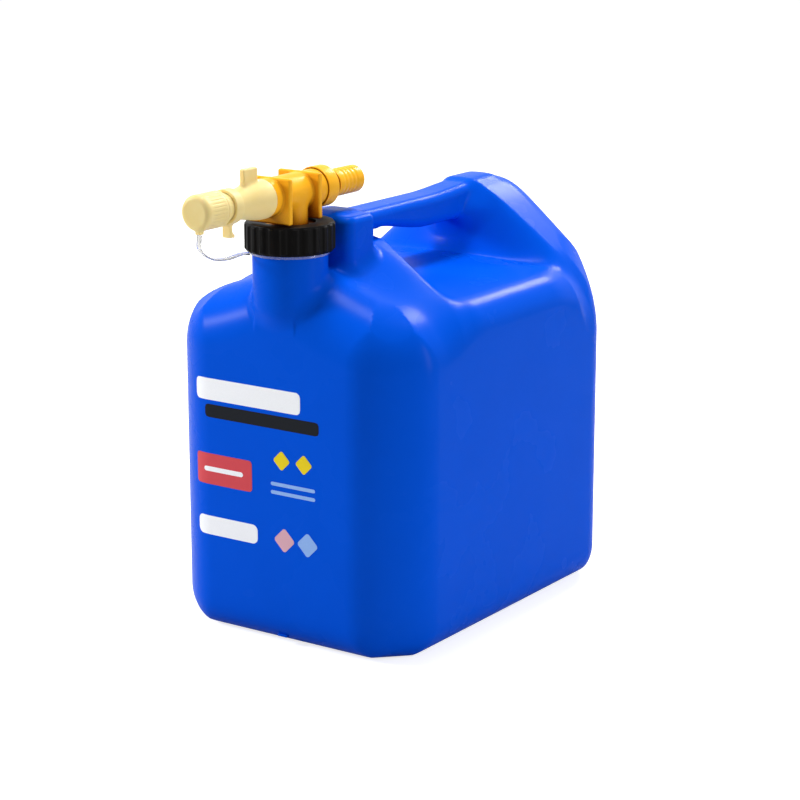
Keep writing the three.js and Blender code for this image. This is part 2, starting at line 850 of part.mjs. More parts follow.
function valveHeadGeometry() {
  const hole = rodFront - seatGap;
  return turnedAlongY([
    [0, headFront],
    [headRadius, headFront],
    [headRadius, headRear],
    [rodHoleRadius, headRear],
    [rodHoleRadius, hole],
    [0, hole],
  ]);
}

function rodGuideGeometry() {
  const front = spigotEnd + seatGap;
  const rear = front + guideLength;
  const rim = tubeAlongY(spigotRadius, spigotRadius - guideRim, front, rear);
  const hub = tubeAlongY(guideHub, rodHoleRadius, front, rear);
  const low = (guideHub + rodHoleRadius) / 2;
  const high = spigotRadius - guideRim / 2;
  const spokes = Array.from({ length: guideSpokes }, (_, spoke) =>
    new THREE.BoxGeometry(guideSpoke, guideLength, high - low)
      .translate(0, (front + rear) / 2, (high + low) / 2)
      .rotateY((spoke / guideSpokes) * fullTurn)
      .translate(0, 0, axisZ));
  return geometryOf(joined(rim, hub, ...spokes));
}

// The air tube runs back along the spout and bends down into the neck
function ventTubeGeometry() {
  const z = axisZ - ventDrop;
  const start = new THREE.Vector3(0, spoutTip + seatGap, z);
  const bendStart = new THREE.Vector3(0, neckY - ventBend, z);
  const corner = new THREE.Vector3(0, neckY, z);
  const bendEnd = new THREE.Vector3(0, neckY, z - ventBend);
  const end = new THREE.Vector3(0, neckY, neckTop - ventReach);
  const path = new THREE.CurvePath();
  path.add(new THREE.LineCurve3(start, bendStart));
  path.add(new THREE.QuadraticBezierCurve3(bendStart, corner, bendEnd));
  path.add(new THREE.LineCurve3(bendEnd, end));
  const ring = new THREE.Shape();
  ring.absarc(0, 0, ventRadius, 0, fullTurn);
  const hole = new THREE.Path();
  hole.absarc(0, 0, ventRadius - ventWall, 0, fullTurn, true);
  ring.holes.push(hole);
  return new THREE.ExtrudeGeometry(ring, {
    steps: ventSteps,
    curveSegments: ventArcSteps,
    bevelEnabled: false,
    extrudePath: path,
  });
}

// The least distance between points of rings that lie at least half a turn apart
function leastGap(rings, turnSteps) {
  return rings.reduce((least, ring, at) => {
    const others = rings.slice(at + turnSteps / 2).flat();
    return ring.reduce((low, point) =>
      others.reduce((near, other) => Math.min(near, point.distanceTo(other)), low), least);
  }, Infinity);
}

// One unbroken wire along the rod
function springGeometry() {
  const steps = springTurnSteps * springTurns;
  const rings = Array.from({ length: steps + 1 }, (_, step) => {
    const angle = (step / springTurnSteps) * fullTurn;
    const y = THREE.MathUtils.lerp(springFront, springRear, step / steps);
    return Array.from({ length: springSides }, (unused, side) => {
      const around = (side / springSides) * fullTurn;
      const radius = springRadius + springWire * Math.cos(around);
      const lift = springWire * Math.sin(around);
      return new THREE.Vector3(radius * Math.cos(angle), y + lift, axisZ + radius * Math.sin(angle));
    });
  });
  console.log(`return spring: least gap between turns ${leastGap(rings, springTurnSteps).toFixed(2)} mm`);
  return loft(rings);
}

function buttonGeometry() {
  return turnedAlongY([
    [stemBore, stemFront],
    [stemRadius, stemFront],
    [stemRadius, buttonFront],
    [buttonRadius - buttonEdge, buttonFront],
    [buttonRadius, buttonFront + buttonEdge],
    [buttonRadius, buttonRear - buttonEdge],
    [buttonRadius - buttonEdge, buttonRear],
    [0, buttonRear],
    [0, rodSocketEnd],
    [rodHoleRadius, rodSocketEnd],
    [rodHoleRadius, stemBoreEnd],
    [stemBore, stemBoreEnd],
  ]);
}

function bezelGeometry() {
  const sleeve = barrelRadius + seatGap;
  const shelf = barrelRear + seatGap;
  return turnedAlongY([
    [sleeve, bezelFront],
    [bezelRadius - bezelEdge, bezelFront],
    [bezelRadius, bezelFront + bezelEdge],
    [bezelRadius, bezelRear - bezelEdge],
    [bezelRadius - bezelEdge, bezelRear],
    [stemRadius + slideGap, bezelRear],
    [stemRadius + slideGap, shelf],
    [sleeve, shelf],
  ]);
}

// Dust cap and tether

function capGeometry() {
  const floor = capEnd + capWall;
  const shell = turnedAlongY([
    [0, capEnd],
    [capOutside - capDome, capEnd],
    [capOutside, capEnd + capDome],
    [capOutside, capMouth],
    [capInside, capMouth],
    [capInside, floor + capDome / 2],
    [capInside - capDome / 2, floor],
    [0, floor],
  ]);
  const lugTop = axisZ - capOutside + weld;
  const lug = new THREE.BoxGeometry(2 * capLugHalf, 2 * capLugHalf, lugTop - capLugBottom)
    .translate(0, capLugY, (lugTop + capLugBottom) / 2);
  return geometryOf(joined(shell, lug));
}

function strapGeometry() {
  const points = strapRoute.map(([back, side, down]) => new THREE.Vector3(
    side * tetherRingOuter,
    THREE.MathUtils.lerp(capLugY, strapEndY, back),
    THREE.MathUtils.lerp(strapStartZ, strapEndZ, down),
  ));
  points.push(new THREE.Vector3(strapEndX, strapEndY, strapEndZ));
  const route = new THREE.CatmullRomCurve3(points);
  const section = new THREE.Shape();
  section.absellipse(0, 0, strapHalfThickness, strapHalfWidth, 0, fullTurn);
  return new THREE.ExtrudeGeometry(section, {
    steps: strapSteps,
    curveSegments: strapArcSteps,
    bevelEnabled: false,
    extrudePath: route,
  });
}

// Materials

function plastic(color, roughness) {
  return new THREE.MeshStandardMaterial({ color, roughness, metalness: 0 });
}

function metal(color, roughness) {
  return new THREE.MeshStandardMaterial({ color, roughness, metalness: 1 });
}

const blueHdpe = plastic(0x0051d5, 0.35);
const blackPolypropylene = plastic(0x171614, 0.5);
const amberNylon = plastic(0xf0b02c, 0.4);
const paleHdpe = plastic(0xf0dfa6, 0.4);
const clearLdpe = plastic(0xf2efe6, 0.45);
const nitrile = plastic(0x1d1d1d, 0.8);
const acetal = plastic(0xe8e4d8, 0.4);
const stainless = metal(0xb9babd, 0.3);

const spoutSeal = sealRing(spigotRadius - spoutSealTube, spoutSealTube, (grooveFront + grooveRear) / 2);
const rodSeal = sealRing(rodHoleRadius + rodSealTube, rodSealTube, partitionRear + seatGap + rodSealTube);
const valveRod = rodAlongY(rodRadius, rodFront, rodEnd, rodSides);
const valveSeal = tubeAlongY(valveSealRadius, rodHoleRadius, valveSealFront, valveSealRear);
const springSeat = tubeAlongY(springSeatRadius, rodHoleRadius, springSeatFront, springSeatRear);
const sealRetainer = tubeAlongY(chamberBore - seatGap, rodHoleRadius, retainerFront, retainerRear);
const rodClip = tubeAlongY(clipRadius, rodHoleRadius, clipFront, clipRear);

const pieces = [
  ["tank", tankGeometry(), blueHdpe],
  ["collar", collarGeometry(), blackPolypropylene],
  ["neck_gasket", gasketGeometry(), nitrile],
  ["tether_ring", tetherRingGeometry(), clearLdpe],
  ["nozzle_body", nozzleBodyGeometry(), amberNylon],
  ["spout_tube", spoutGeometry(), paleHdpe],
  ["spout_seal", spoutSeal, nitrile],
  ["rim_hook", rimHookGeometry(), paleHdpe],
  ["rod_guide", rodGuideGeometry(), acetal],
  ["vent_tube", ventTubeGeometry(), clearLdpe],
  ["valve_rod", valveRod, stainless],
  ["valve_head", valveHeadGeometry(), acetal],
  ["valve_seal", valveSeal, nitrile],
  ["return_spring", springGeometry(), stainless],
  ["spring_seat", springSeat, stainless],
  ["rod_seal", rodSeal, nitrile],
  ["seal_retainer", sealRetainer, acetal],
  ["rod_clip", rodClip, stainless],
  ["thumb_button", buttonGeometry(), amberNylon],
  ["button_bezel", bezelGeometry(), amberNylon],
  ["dust_cap", capGeometry(), paleHdpe],
  ["cap_tether", strapGeometry(), clearLdpe],
];

const can = new THREE.Group();
pieces.forEach(([name, geometry, material]) => {
  const mesh = new THREE.Mesh(geometry, material);
  mesh.name = name;
  can.add(mesh);
});

export default can;
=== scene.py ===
import math
import bmesh
import bpy
import numpy as np
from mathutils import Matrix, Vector


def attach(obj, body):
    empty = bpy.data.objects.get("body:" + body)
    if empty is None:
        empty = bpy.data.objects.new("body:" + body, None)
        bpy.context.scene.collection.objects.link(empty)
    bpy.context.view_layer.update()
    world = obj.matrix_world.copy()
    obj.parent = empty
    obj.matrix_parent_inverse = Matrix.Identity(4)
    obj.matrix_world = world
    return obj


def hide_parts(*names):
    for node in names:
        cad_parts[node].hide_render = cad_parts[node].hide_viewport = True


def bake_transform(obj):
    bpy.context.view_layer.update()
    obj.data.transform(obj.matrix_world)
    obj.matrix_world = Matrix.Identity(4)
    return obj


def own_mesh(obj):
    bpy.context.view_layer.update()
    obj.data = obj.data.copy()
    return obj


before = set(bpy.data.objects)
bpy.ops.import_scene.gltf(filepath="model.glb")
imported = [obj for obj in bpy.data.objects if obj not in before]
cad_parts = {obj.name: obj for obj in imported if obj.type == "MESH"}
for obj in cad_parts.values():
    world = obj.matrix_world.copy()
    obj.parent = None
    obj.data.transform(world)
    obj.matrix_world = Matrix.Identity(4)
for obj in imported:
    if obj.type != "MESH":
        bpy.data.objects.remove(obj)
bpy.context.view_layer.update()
mm = 0.001


# Camera: the photograph's own viewpoint
camera = {"place": (1.1205, -1.6351, 0.6772), "aim": (0.0020, 0.0014, 0.1711), "lens": 108, "sensor": 36}


def aimed(obj, place, target):
    obj.location = place
    obj.rotation_euler = (Vector(target) - Vector(place)).to_track_quat("-Z", "Y").to_euler()
    bpy.context.collection.objects.link(obj)
    return obj


cameraData = bpy.data.cameras.new("photoCamera")
cameraData.lens = camera["lens"]
cameraData.sensor_width = camera["sensor"]
bpy.context.scene.camera = aimed(bpy.data.objects.new("photoCamera", cameraData), camera["place"], camera["aim"])
print("camera placed")


# Colour and node helpers
def linear(hexColour):
    parts = [int(hexColour[i:i + 2], 16) / 255 for i in (0, 2, 4)]
    return [p / 12.92 if p <= 0.04045 else ((p + 0.055) / 1.055) ** 2.4 for p in parts] + [1.0]


def addNode(tree, kind, settings=None, links=None, **options):
    node = tree.nodes.new(kind)
    for name, value in options.items():
        setattr(node, name, value)
    for socket, value in (settings or {}).items():
        node.inputs[socket].default_value = value
    for socket, source in (links or {}).items():
        tree.links.new(source, node.inputs[socket])
    return node


def perMetre(millimetres):
    return 1 / (millimetres * mm)


def noise(tree, place, millimetres, detail):
    node = addNode(tree, "ShaderNodeTexNoise", {"Scale": perMetre(millimetres), "Detail": detail}, {"Vector": place})
    return node.outputs["Fac"]


def startMaterial(name):
    material = bpy.data.materials.new(name)
    material.use_nodes = True
    tree = material.node_tree
    tree.nodes.clear()
    place = addNode(tree, "ShaderNodeTexCoord").outputs["Object"]
    return material, tree, place


def finishMaterial(tree, shader):
    addNode(tree, "ShaderNodeOutputMaterial", links={"Surface": shader.outputs[0]})


# Moulded plastics. The grain is the mould's own texture, the flow is the wavering of a wall that was blown or
# shrank as it cooled, and the tint is the slight unevenness of the pigment.
plastics = {
    # a blown wall: slow waves bend the highlights, so that it reads as thin and hollow
    "hdpeBlueBlowMoulded": {
        "colour": "0052d8", "deeper": "004fd2", "roughness": 0.27, "roughSpread": 0.03, "shine": 0.02, "ior": 1.54,
        "grain": 1.1, "grainDepth": 0.006, "flow": 38, "flowDepth": 0.12, "subsurface": 0.0, "radius": (1, 1, 2)},
    # dense and dull: a faint sheen that only the ribs' crests catch
    "polypropyleneBlackMoulded": {
        "colour": "0d0c0c", "deeper": "080707", "roughness": 0.42, "roughSpread": 0.08, "shine": 0.06, "ior": 1.49,
        "grain": 0.7, "grainDepth": 0.006, "flow": 14, "flowDepth": 0.02, "subsurface": 0.0, "radius": (1, 1, 1)},
    # light goes a little way in and comes back warmer, which softens the recesses
    "nylonAmberMoulded": {
        "colour": "fdba2c", "deeper": "f5ac1e", "roughness": 0.3, "roughSpread": 0.05, "shine": 0.08, "ior": 1.53,
        "grain": 0.8, "grainDepth": 0.003, "flow": 16, "flowDepth": 0.02, "subsurface": 0.05,
        # the recess colour is painted shade, laid into corners and recesses by ambient occlusion
        "radius": (2, 0.9, 0.3), "recess": "8a4602", "recessReach": 15, "shut": 0.3, "open": 0.76},
    # milky: light spreads inside the wall, so that thin edges glow
    "hdpeNaturalMoulded": {
        "colour": "f3de9f", "deeper": "ead086", "roughness": 0.36, "roughSpread": 0.06, "shine": 0.12, "ior": 1.54,
        "grain": 0.8, "grainDepth": 0.003, "flow": 15, "flowDepth": 0.02, "subsurface": 0.25,
        "radius": (4, 2.6, 1.2)},
    # hard and cut on a lathe: a tight, even highlight
    "acetalTurned": {
        "colour": "e9e5da", "deeper": "ddd7c8", "roughness": 0.38, "roughSpread": 0.05, "shine": 0.4, "ior": 1.48,
        "grain": 0.5, "grainDepth": 0.003, "flow": 9, "flowDepth": 0.005, "subsurface": 0.1, "radius": (1.5, 1.3, 1)},
    # matt rubber with next to no highlight
    "nitrileRubberMoulded": {
        "colour": "1f1f1f", "deeper": "161616", "roughness": 0.72, "roughSpread": 0.1, "shine": 0.3, "ior": 1.52,
        "grain": 0.4, "grainDepth": 0.01, "flow": 6, "flowDepth": 0.01, "subsurface": 0.0, "radius": (1, 1, 1)},
}
# the tint's patches are this many times as long as the wall's waves
mottlePerFlow = 1.7


def mouldedPlastic(name):
    look = plastics[name]
    material, tree, place = startMaterial(name)
    mottle = noise(tree, place, look["flow"] * mottlePerFlow, 3.0)
    spread = addNode(tree, "ShaderNodeMapRange", {"From Min": 0.2, "From Max": 0.8}, {"Value": mottle})
    tint = addNode(tree, "ShaderNodeMixRGB", {"Color1": linear(look["deeper"]), "Color2": linear(look["colour"])},
                   {"Fac": spread.outputs[0]})
    if "recess" in look:
        # painted shade: the colour darkens where ambient occlusion finds corners and recesses, where the walls meet
        # and shade falls
        corner = addNode(tree, "ShaderNodeAmbientOcclusion", {"Distance": look["recessReach"] * mm}, samples=12)
        unshadedShare = addNode(tree, "ShaderNodeMapRange", {"From Min": look["shut"], "From Max": look["open"]},
                           {"Value": corner.outputs["AO"]})
        tint = addNode(tree, "ShaderNodeMixRGB", {"Color1": linear(look["recess"])},
                       {"Fac": unshadedShare.outputs[0], "Color2": tint.outputs[0]})
    smoothest, roughest = look["roughness"] - look["roughSpread"], look["roughness"] + look["roughSpread"]
    rough = addNode(tree, "ShaderNodeMapRange", {"To Min": smoothest, "To Max": roughest}, {"Value": mottle})
    flow = noise(tree, place, look["flow"], 1.0)
    grain = noise(tree, place, look["grain"], 2.0)
    waver = addNode(tree, "ShaderNodeBump", {"Distance": look["flowDepth"] * mm}, {"Height": flow})
    pores = addNode(tree, "ShaderNodeBump", {"Distance": look["grainDepth"] * mm},
                    {"Height": grain, "Normal": waver.outputs[0]})
    shader = addNode(tree, "ShaderNodeBsdfPrincipled",
                     {"IOR": look["ior"], "Specular IOR Level": look["shine"], "Subsurface Weight": look["subsurface"],
                      "Subsurface Radius": look["radius"], "Subsurface Scale": mm},
                     {"Base Color": tint.outputs[0], "Roughness": rough.outputs[0], "Normal": pores.outputs[0]})
    finishMaterial(tree, shader)
    return material


def ldpeStrapClear():
    # thin natural polyethylene: milky, lets most of the light through
    material, tree, place = startMaterial("ldpeNaturalStrap")
    haze = noise(tree, place, 3, 2.0)
    rough = addNode(tree, "ShaderNodeMapRange", {"To Min": 0.1, "To Max": 0.22}, {"Value": haze})
    bump = addNode(tree, "ShaderNodeBump", {"Distance": 0.004 * mm}, {"Height": haze})
    shader = addNode(tree, "ShaderNodeBsdfPrincipled",
                     {"Base Color": linear("fdfcf8"), "IOR": 1.51, "Transmission Weight": 0.93},
                     {"Roughness": rough.outputs[0], "Normal": bump.outputs[0]})
    finishMaterial(tree, shader)
    return material


def stainlessDrawn():
    # drawn wire and turned rod: fine lines along the nozzle's axis
    material, tree, place = startMaterial("stainlessDrawn")
    stretch = addNode(tree, "ShaderNodeMapping", {"Scale": (1, 0.06, 1)}, {"Vector": place})
    lines = noise(tree, stretch.outputs[0], 0.25, 2.0)
    rough = addNode(tree, "ShaderNodeMapRange", {"To Min": 0.2, "To Max": 0.38}, {"Value": lines})
    bump = addNode(tree, "ShaderNodeBump", {"Distance": 0.003 * mm}, {"Height": lines})
    shader = addNode(tree, "ShaderNodeBsdfPrincipled", {"Base Color": linear("b9babd"), "Metallic": 1.0},
                     {"Roughness": rough.outputs[0], "Normal": bump.outputs[0]})
    finishMaterial(tree, shader)
    return material


def printedFilm(name, colour):
    # screen ink on a thin satin film: a faint dot screen in the ink
    material, tree, place = startMaterial(name)
    dots = noise(tree, place, 0.9, 2.0)
    strength = addNode(tree, "ShaderNodeMapRange", {"To Min": 0.94, "To Max": 1.04}, {"Value": dots})
    inked = addNode(tree, "ShaderNodeHueSaturation", {"Color": linear(colour)}, {"Value": strength.outputs[0]})
    bump = addNode(tree, "ShaderNodeBump", {"Distance": 0.004 * mm}, {"Height": dots})
    shader = addNode(tree, "ShaderNodeBsdfPrincipled", {"Roughness": 0.36, "IOR": 1.5, "Specular IOR Level": 0.1},
                     {"Base Color": inked.outputs[0], "Normal": bump.outputs[0]})
    finishMaterial(tree, shader)
    return material


hdpeBlue = mouldedPlastic("hdpeBlueBlowMoulded")
polypropyleneBlack = mouldedPlastic("polypropyleneBlackMoulded")
nylonAmber = mouldedPlastic("nylonAmberMoulded")
hdpeNatural = mouldedPlastic("hdpeNaturalMoulded")
acetal = mouldedPlastic("acetalTurned")
nitrile = mouldedPlastic("nitrileRubberMoulded")
ldpeClear = ldpeStrapClear()
stainless = stainlessDrawn()
print("materials made")


# Distances in millimetres: negative inside a solid
def roundMax(a, b, radius):
    p, q = a + radius, b + radius
    return np.minimum(np.maximum(p, q), 0) + np.hypot(np.maximum(p, 0), np.maximum(q, 0)) - radius


def roundMin(a, b, radius):
    return -roundMax(-a, -b, radius)


def fade(value, low, high):
    share = np.clip((value - low) / (high - low), 0, 1)
    return share * share * (3 - 2 * share)


def softMax(a, b, softness):
    return softness * np.logaddexp(a / softness, b / softness)


def within(value, low, high):
    return np.abs(value - (low + high) / 2) - (high - low) / 2


def brick(x, y, z, spans, edge):
    (x0, x1), (y0, y1), (z0, z1) = spans
    return roundMax(roundMax(within(x, x0, x1), within(y, y0, y1), edge), within(z, z0, z1), edge)


# A mesh of quads on the surface where a field crosses zero, each point then moved onto it
def netOf(field, lows, highs, step):
    axes = [np.arange(low, high + step, step) for low, high in zip(lows, highs)]
    grid = np.ix_(*axes)
    values = (field(*grid) + np.zeros([len(a) for a in axes])).astype(np.float32)
    inside = values < 0
    shape = [n - 1 for n in values.shape]
    total, count = np.zeros(shape + [3], np.float32), np.zeros(shape, np.float32)
    for axis in range(3):
        side = [i for i in range(3) if i != axis]
        near = values.take(range(shape[axis]), axis)
        far = values.take(range(1, shape[axis] + 1), axis)
        cross = (near < 0) != (far < 0)
        along = np.where(cross, near / np.where(cross, near - far, 1), 0)
        for p, q in ((0, 0), (0, 1), (1, 0), (1, 1)):
            cut = [slice(None)] * 3
            cut[side[0]] = slice(p, shape[side[0]] + p)
            cut[side[1]] = slice(q, shape[side[1]] + q)
            hit = cross[tuple(cut)]
            count += hit
            total[..., axis] += np.where(hit, along[tuple(cut)], 0)
            total[..., side[0]] += p * hit
            total[..., side[1]] += q * hit
    cells = count > 0
    index = np.full(shape, -1)
    index[cells] = np.arange(cells.sum())
    points = (np.argwhere(cells) + total[cells] / count[cells][:, None]) * step + np.array(lows)
    faces = []
    for axis in range(3):
        side = [(axis + 1) % 3, (axis + 2) % 3]
        near = inside.take(range(shape[axis]), axis)
        change = np.argwhere(near != inside.take(range(1, shape[axis] + 1), axis))
        change = change[(change[:, side[0]] > 0) & (change[:, side[1]] > 0)
                        & (change[:, side[0]] < shape[side[0]]) & (change[:, side[1]] < shape[side[1]])]
        corners = []
        for p, q in ((-1, -1), (0, -1), (0, 0), (-1, 0)):
            cell = change.copy()
            cell[:, side[0]] += p
            cell[:, side[1]] += q
            corners.append(index[tuple(cell.T)])
        quad = np.stack(corners, 1)
        faces.append(np.where(near[tuple(change.T)][:, None], quad, quad[:, ::-1]))
    faces = np.concatenate(faces)
    return settle(field, points, step), faces


def slopeOf(field, points, reach):
    x, y, z = points.T
    return np.stack([field(x + reach, y, z) - field(x - reach, y, z),
                     field(x, y + reach, z) - field(x, y - reach, z),
                     field(x, y, z + reach) - field(x, y, z - reach)], 1) / (2 * reach)


def settle(field, points, step):
    for _ in range(3):
        slope = slopeOf(field, points, step * 0.1)
        steep = np.maximum((slope ** 2).sum(1), 0.2)
        move = slope * (field(*points.T) / steep)[:, None]
        far = np.linalg.norm(move, axis=1, keepdims=True)
        points = points - move * np.minimum(1, 0.5 * step / np.maximum(far, 1e-9))
    return points


def meshFrom(name, points, faces, material, normals=None):
    mesh = bpy.data.meshes.new(name)
    mesh.from_pydata((np.asarray(points) * mm).tolist(), [], faces if isinstance(faces, list) else faces.tolist())
    mesh.update()
    mesh.polygons.foreach_set("use_smooth", [True] * len(mesh.polygons))
    if normals is not None:
        mesh.normals_split_custom_set_from_vertices(normals.tolist())
    obj = bpy.data.objects.new(name, mesh)
    bpy.context.collection.objects.link(obj)
    mesh.materials.append(material)
    return obj


def moulded(name, field, lows, highs, step, material, keep=None, inward=False):
    points, faces = netOf(field, lows, highs, step)
    normals = slopeOf(field, points, step * 0.15)
    normals /= np.maximum(np.linalg.norm(normals, axis=1, keepdims=True), 1e-9)
    if keep:
        used, faces = np.unique(faces[keep(*points[faces].mean(axis=1).T)], return_inverse=True)
        points, normals, faces = points[used], normals[used], faces.reshape(-1, 4)
    if inward:
        faces, normals = faces[:, ::-1], -normals
    piece = meshFrom(name, points, faces, material, normals)
    print(name, len(faces), "faces")
    return piece


# Turned pieces: an outline of [radius, place] corners, each rounded, swept about an axis. Edges that turn by more
# than the sharp angle, in degrees, stay sharp.
sharpAngle = 40


def roundedOutline(corners, radius, steps=4):
    outline = []
    count = len(corners)
    for i, corner in enumerate(corners):
        here = np.array(corner, float)
        back, ahead = np.array(corners[i - 1], float) - here, np.array(corners[(i + 1) % count], float) - here
        reach = min(radius, 0.45 * np.linalg.norm(back), 0.45 * np.linalg.norm(ahead))
        if here[0] <= 0 or reach < 0.02:
            outline.append(here)
            continue
        start, end = here + back / np.linalg.norm(back) * reach, here + ahead / np.linalg.norm(ahead) * reach
        for share in np.linspace(0, 1, steps + 1):
            outline.append((1 - share) ** 2 * start + 2 * share * (1 - share) * here + share ** 2 * end)
    return np.array(outline)


def turnedPiece(name, corners, material, centre, along="z", radius=0.5, segments=96, ribs=None):
    outline = roundedOutline(corners, radius)
    closed = outline[0][0] > 0
    angle = np.linspace(0, 2 * np.pi, segments, endpoint=False)
    rings = []
    for distance, place in outline:
        reach = distance + (ribs(angle, distance, place) if ribs else 0 * angle)
        a, b, c = reach * np.cos(angle), reach * np.sin(angle), place + 0 * angle
        ring = [centre[0] + a, centre[1] + b, c] if along == "z" else [centre[0] + a, c, centre[2] - b]
        rings.append(np.stack(ring, 1))
    points = np.concatenate(rings)
    count = len(outline)
    ring, around = np.meshgrid(np.arange(count if closed else count - 1), np.arange(segments), indexing="ij")
    nextRing, nextAround = (ring + 1) % count, (around + 1) % segments
    faces = np.stack([ring * segments + around, ring * segments + nextAround,
                      nextRing * segments + nextAround, nextRing * segments + around], -1).reshape(-1, 4)
    piece = meshFrom(name, points, faces, material)
    tidyMesh(piece)
    return piece


def tidyMesh(piece):
    mesh = bmesh.new()
    mesh.from_mesh(piece.data)
    bmesh.ops.remove_doubles(mesh, verts=mesh.verts, dist=1e-6)
    bmesh.ops.recalc_face_normals(mesh, faces=mesh.faces)
    mesh.to_mesh(piece.data)
    mesh.free()
    piece.data.polygons.foreach_set("use_smooth", [True] * len(piece.data.polygons))
    piece.data.set_sharp_from_angle(angle=math.radians(sharpAngle))


# Tank
tank = {
    "width": 243, "length": 343, "wall": 3, "cornerRadius": 46, "cornerCut": 34, "cornerBlend": 14,
    "bottomFillet": 28, "eaveFront": 46, "eavePocket": 24, "eaveRear": 36, "eaveFrontSpan": (-110, -50),
    "eaveRearSpan": (60, 110), "neckY": -149, "neckRadius": 30, "neckBore": 26, "neckTop": 339, "neckFoot": 264,
    "neckEdge": 1, "neckFootRound": 20, "neckBlend": 7, "recessDepth": 3, "recessHalfWidth": 70,
    "recessSpan": (25, 120), "recessCorner": 14, "recessEdge": 1.5, "lap": 318, "lapDepth": 15, "lapEdge": 0.6,
    "lapUnder": 2, "lapReach": 12, "mouthEdge": 0.6, "mouthClear": 6,
    "step": 2.0, "insideStep": 2.6, "lows": (-127, -184, -4), "highs": (127, 176, 352),
}
# an arched rear shoulder, a lower front shoulder and the finger pocket between them
roof = {
    "rearCrest": 345, "rearHalf": 20, "rearSlope": 0.84, "rearLift": 3, "rearSoft": 6,
    "frontCrest": 305.6, "frontHalf": 20, "frontSlope": 0.36, "frontEave": 281, "frontSoft": 3,
    "frontRise": 16, "riseSpan": (-119, -60), "crownReach": 105,
    "pocketLip": 279, "pocketCrown": 10, "pocketFront": -38, "pocketRear": 85, "frontSlant": 0.34, "rearSlant": 0.24,
    "frontWidth": 18, "rearWidth": 28, "fold": 15,
}
handle = {
    "top": 347, "front": -104, "rear": 134, "halfWidth": 16, "depth": 19, "corner": 8, "dip": 2.5, "dipEnd": -50,
    "hump": 1.5, "humpSpan": (30, 110), "underDrop": 10, "underSpan": (-50, 30), "blend": 8,
    "blockHalfWidth": 32, "blockFront": -111.5, "blockRear": -74, "blockFoot": 270, "blockCorner": 9,
    "blockEdge": 6, "blockFootEdge": 3, "sweep": 9, "sweepMore": 12, "sweepSpan": (20, 80), "sweepTop": (325, 345),
}
slopeProbe = 0.5


def tankPlan(x, y):
    ax = np.abs(x) - tank["width"] / 2 + tank["cornerRadius"]
    ay = np.abs(y) - tank["length"] / 2 + tank["cornerRadius"]
    box = np.minimum(np.maximum(ax, ay), 0) + np.hypot(np.maximum(ax, 0), np.maximum(ay, 0)) - tank["cornerRadius"]
    chamfer = (np.abs(x) + np.abs(y) - (tank["width"] + tank["length"]) / 2 + tank["cornerCut"]) / math.sqrt(2)
    return roundMax(box, chamfer, tank["cornerBlend"])


def tankRoof(x, y):
    side = np.abs(x)
    # eased at the middle, so that the pocket doesn't fold there
    eased = np.hypot(x, roof["fold"]) - roof["fold"]
    crown = np.clip(1 - eased / roof["crownReach"], 0, 1)
    rise = roof["frontRise"] * fade(y, *roof["riseSpan"]) * crown
    front = softMax(roof["frontCrest"] - roof["frontSlope"] * np.maximum(side - roof["frontHalf"], 0) + rise,
                    roof["frontEave"] + 0 * side, roof["frontSoft"])
    rear = roof["rearLift"] - softMax(roof["rearSlope"] * (side - roof["rearHalf"]) - roof["rearCrest"],
                                      -roof["rearCrest"] + 0 * side, roof["rearSoft"])
    floor = roof["pocketLip"] + roof["pocketCrown"] * crown
    frontEdge = roof["pocketFront"] - roof["frontSlant"] * eased
    rearEdge = roof["pocketRear"] + roof["rearSlant"] * eased
    ahead = 1 - fade(y, frontEdge - roof["frontWidth"] / 2, frontEdge + roof["frontWidth"] / 2)
    behind = fade(y, rearEdge - roof["rearWidth"] / 2, rearEdge + roof["rearWidth"] / 2)
    return floor + (front - floor) * ahead + (rear - floor) * behind


def tankBody(x, y, z):
    acrossSlope = tankRoof(x + slopeProbe, y) - tankRoof(x - slopeProbe, y)
    alongSlope = tankRoof(x, y + slopeProbe) - tankRoof(x, y - slopeProbe)
    steepness = np.sqrt(1 + acrossSlope ** 2 + alongSlope ** 2)
    eave = tank["eavePocket"] + (tank["eaveFront"] - tank["eavePocket"]) * (1 - fade(y, *tank["eaveFrontSpan"])) \
        + (tank["eaveRear"] - tank["eavePocket"]) * fade(y, *tank["eaveRearSpan"])
    under = roundMax(tankPlan(x, y), (z - tankRoof(x, y)) / steepness, eave)
    return roundMax(under, -z, tank["bottomFillet"])


def tankHandle(x, y, z):
    hump = fade(y, *handle["humpSpan"])
    top = handle["top"] - handle["dip"] * fade(y, handle["front"], handle["dipEnd"]) * (1 - hump) \
        + handle["hump"] * hump
    under = handle["top"] - handle["depth"] - handle["underDrop"] * fade(y, *handle["underSpan"])
    bar = roundMax(np.abs(x) - handle["halfWidth"], within(z, under, top), handle["corner"])
    return roundMax(bar, within(y, handle["front"], handle["rear"]), handle["corner"])


def tankBlock(x, y, z):
    column = roundMax(np.abs(x) - handle["blockHalfWidth"], within(y, handle["blockFront"], handle["blockRear"]),
                      handle["blockCorner"])
    capped = roundMax(column, z - handle["top"], handle["blockEdge"])
    return roundMax(capped, handle["blockFoot"] - z, handle["blockFootEdge"])


def tankNeck(x, y, z):
    ring = np.hypot(x, y - tank["neckY"]) - tank["neckRadius"]
    return roundMax(roundMax(ring, z - tank["neckTop"], tank["neckEdge"]), tank["neckFoot"] - z, tank["neckFootRound"])


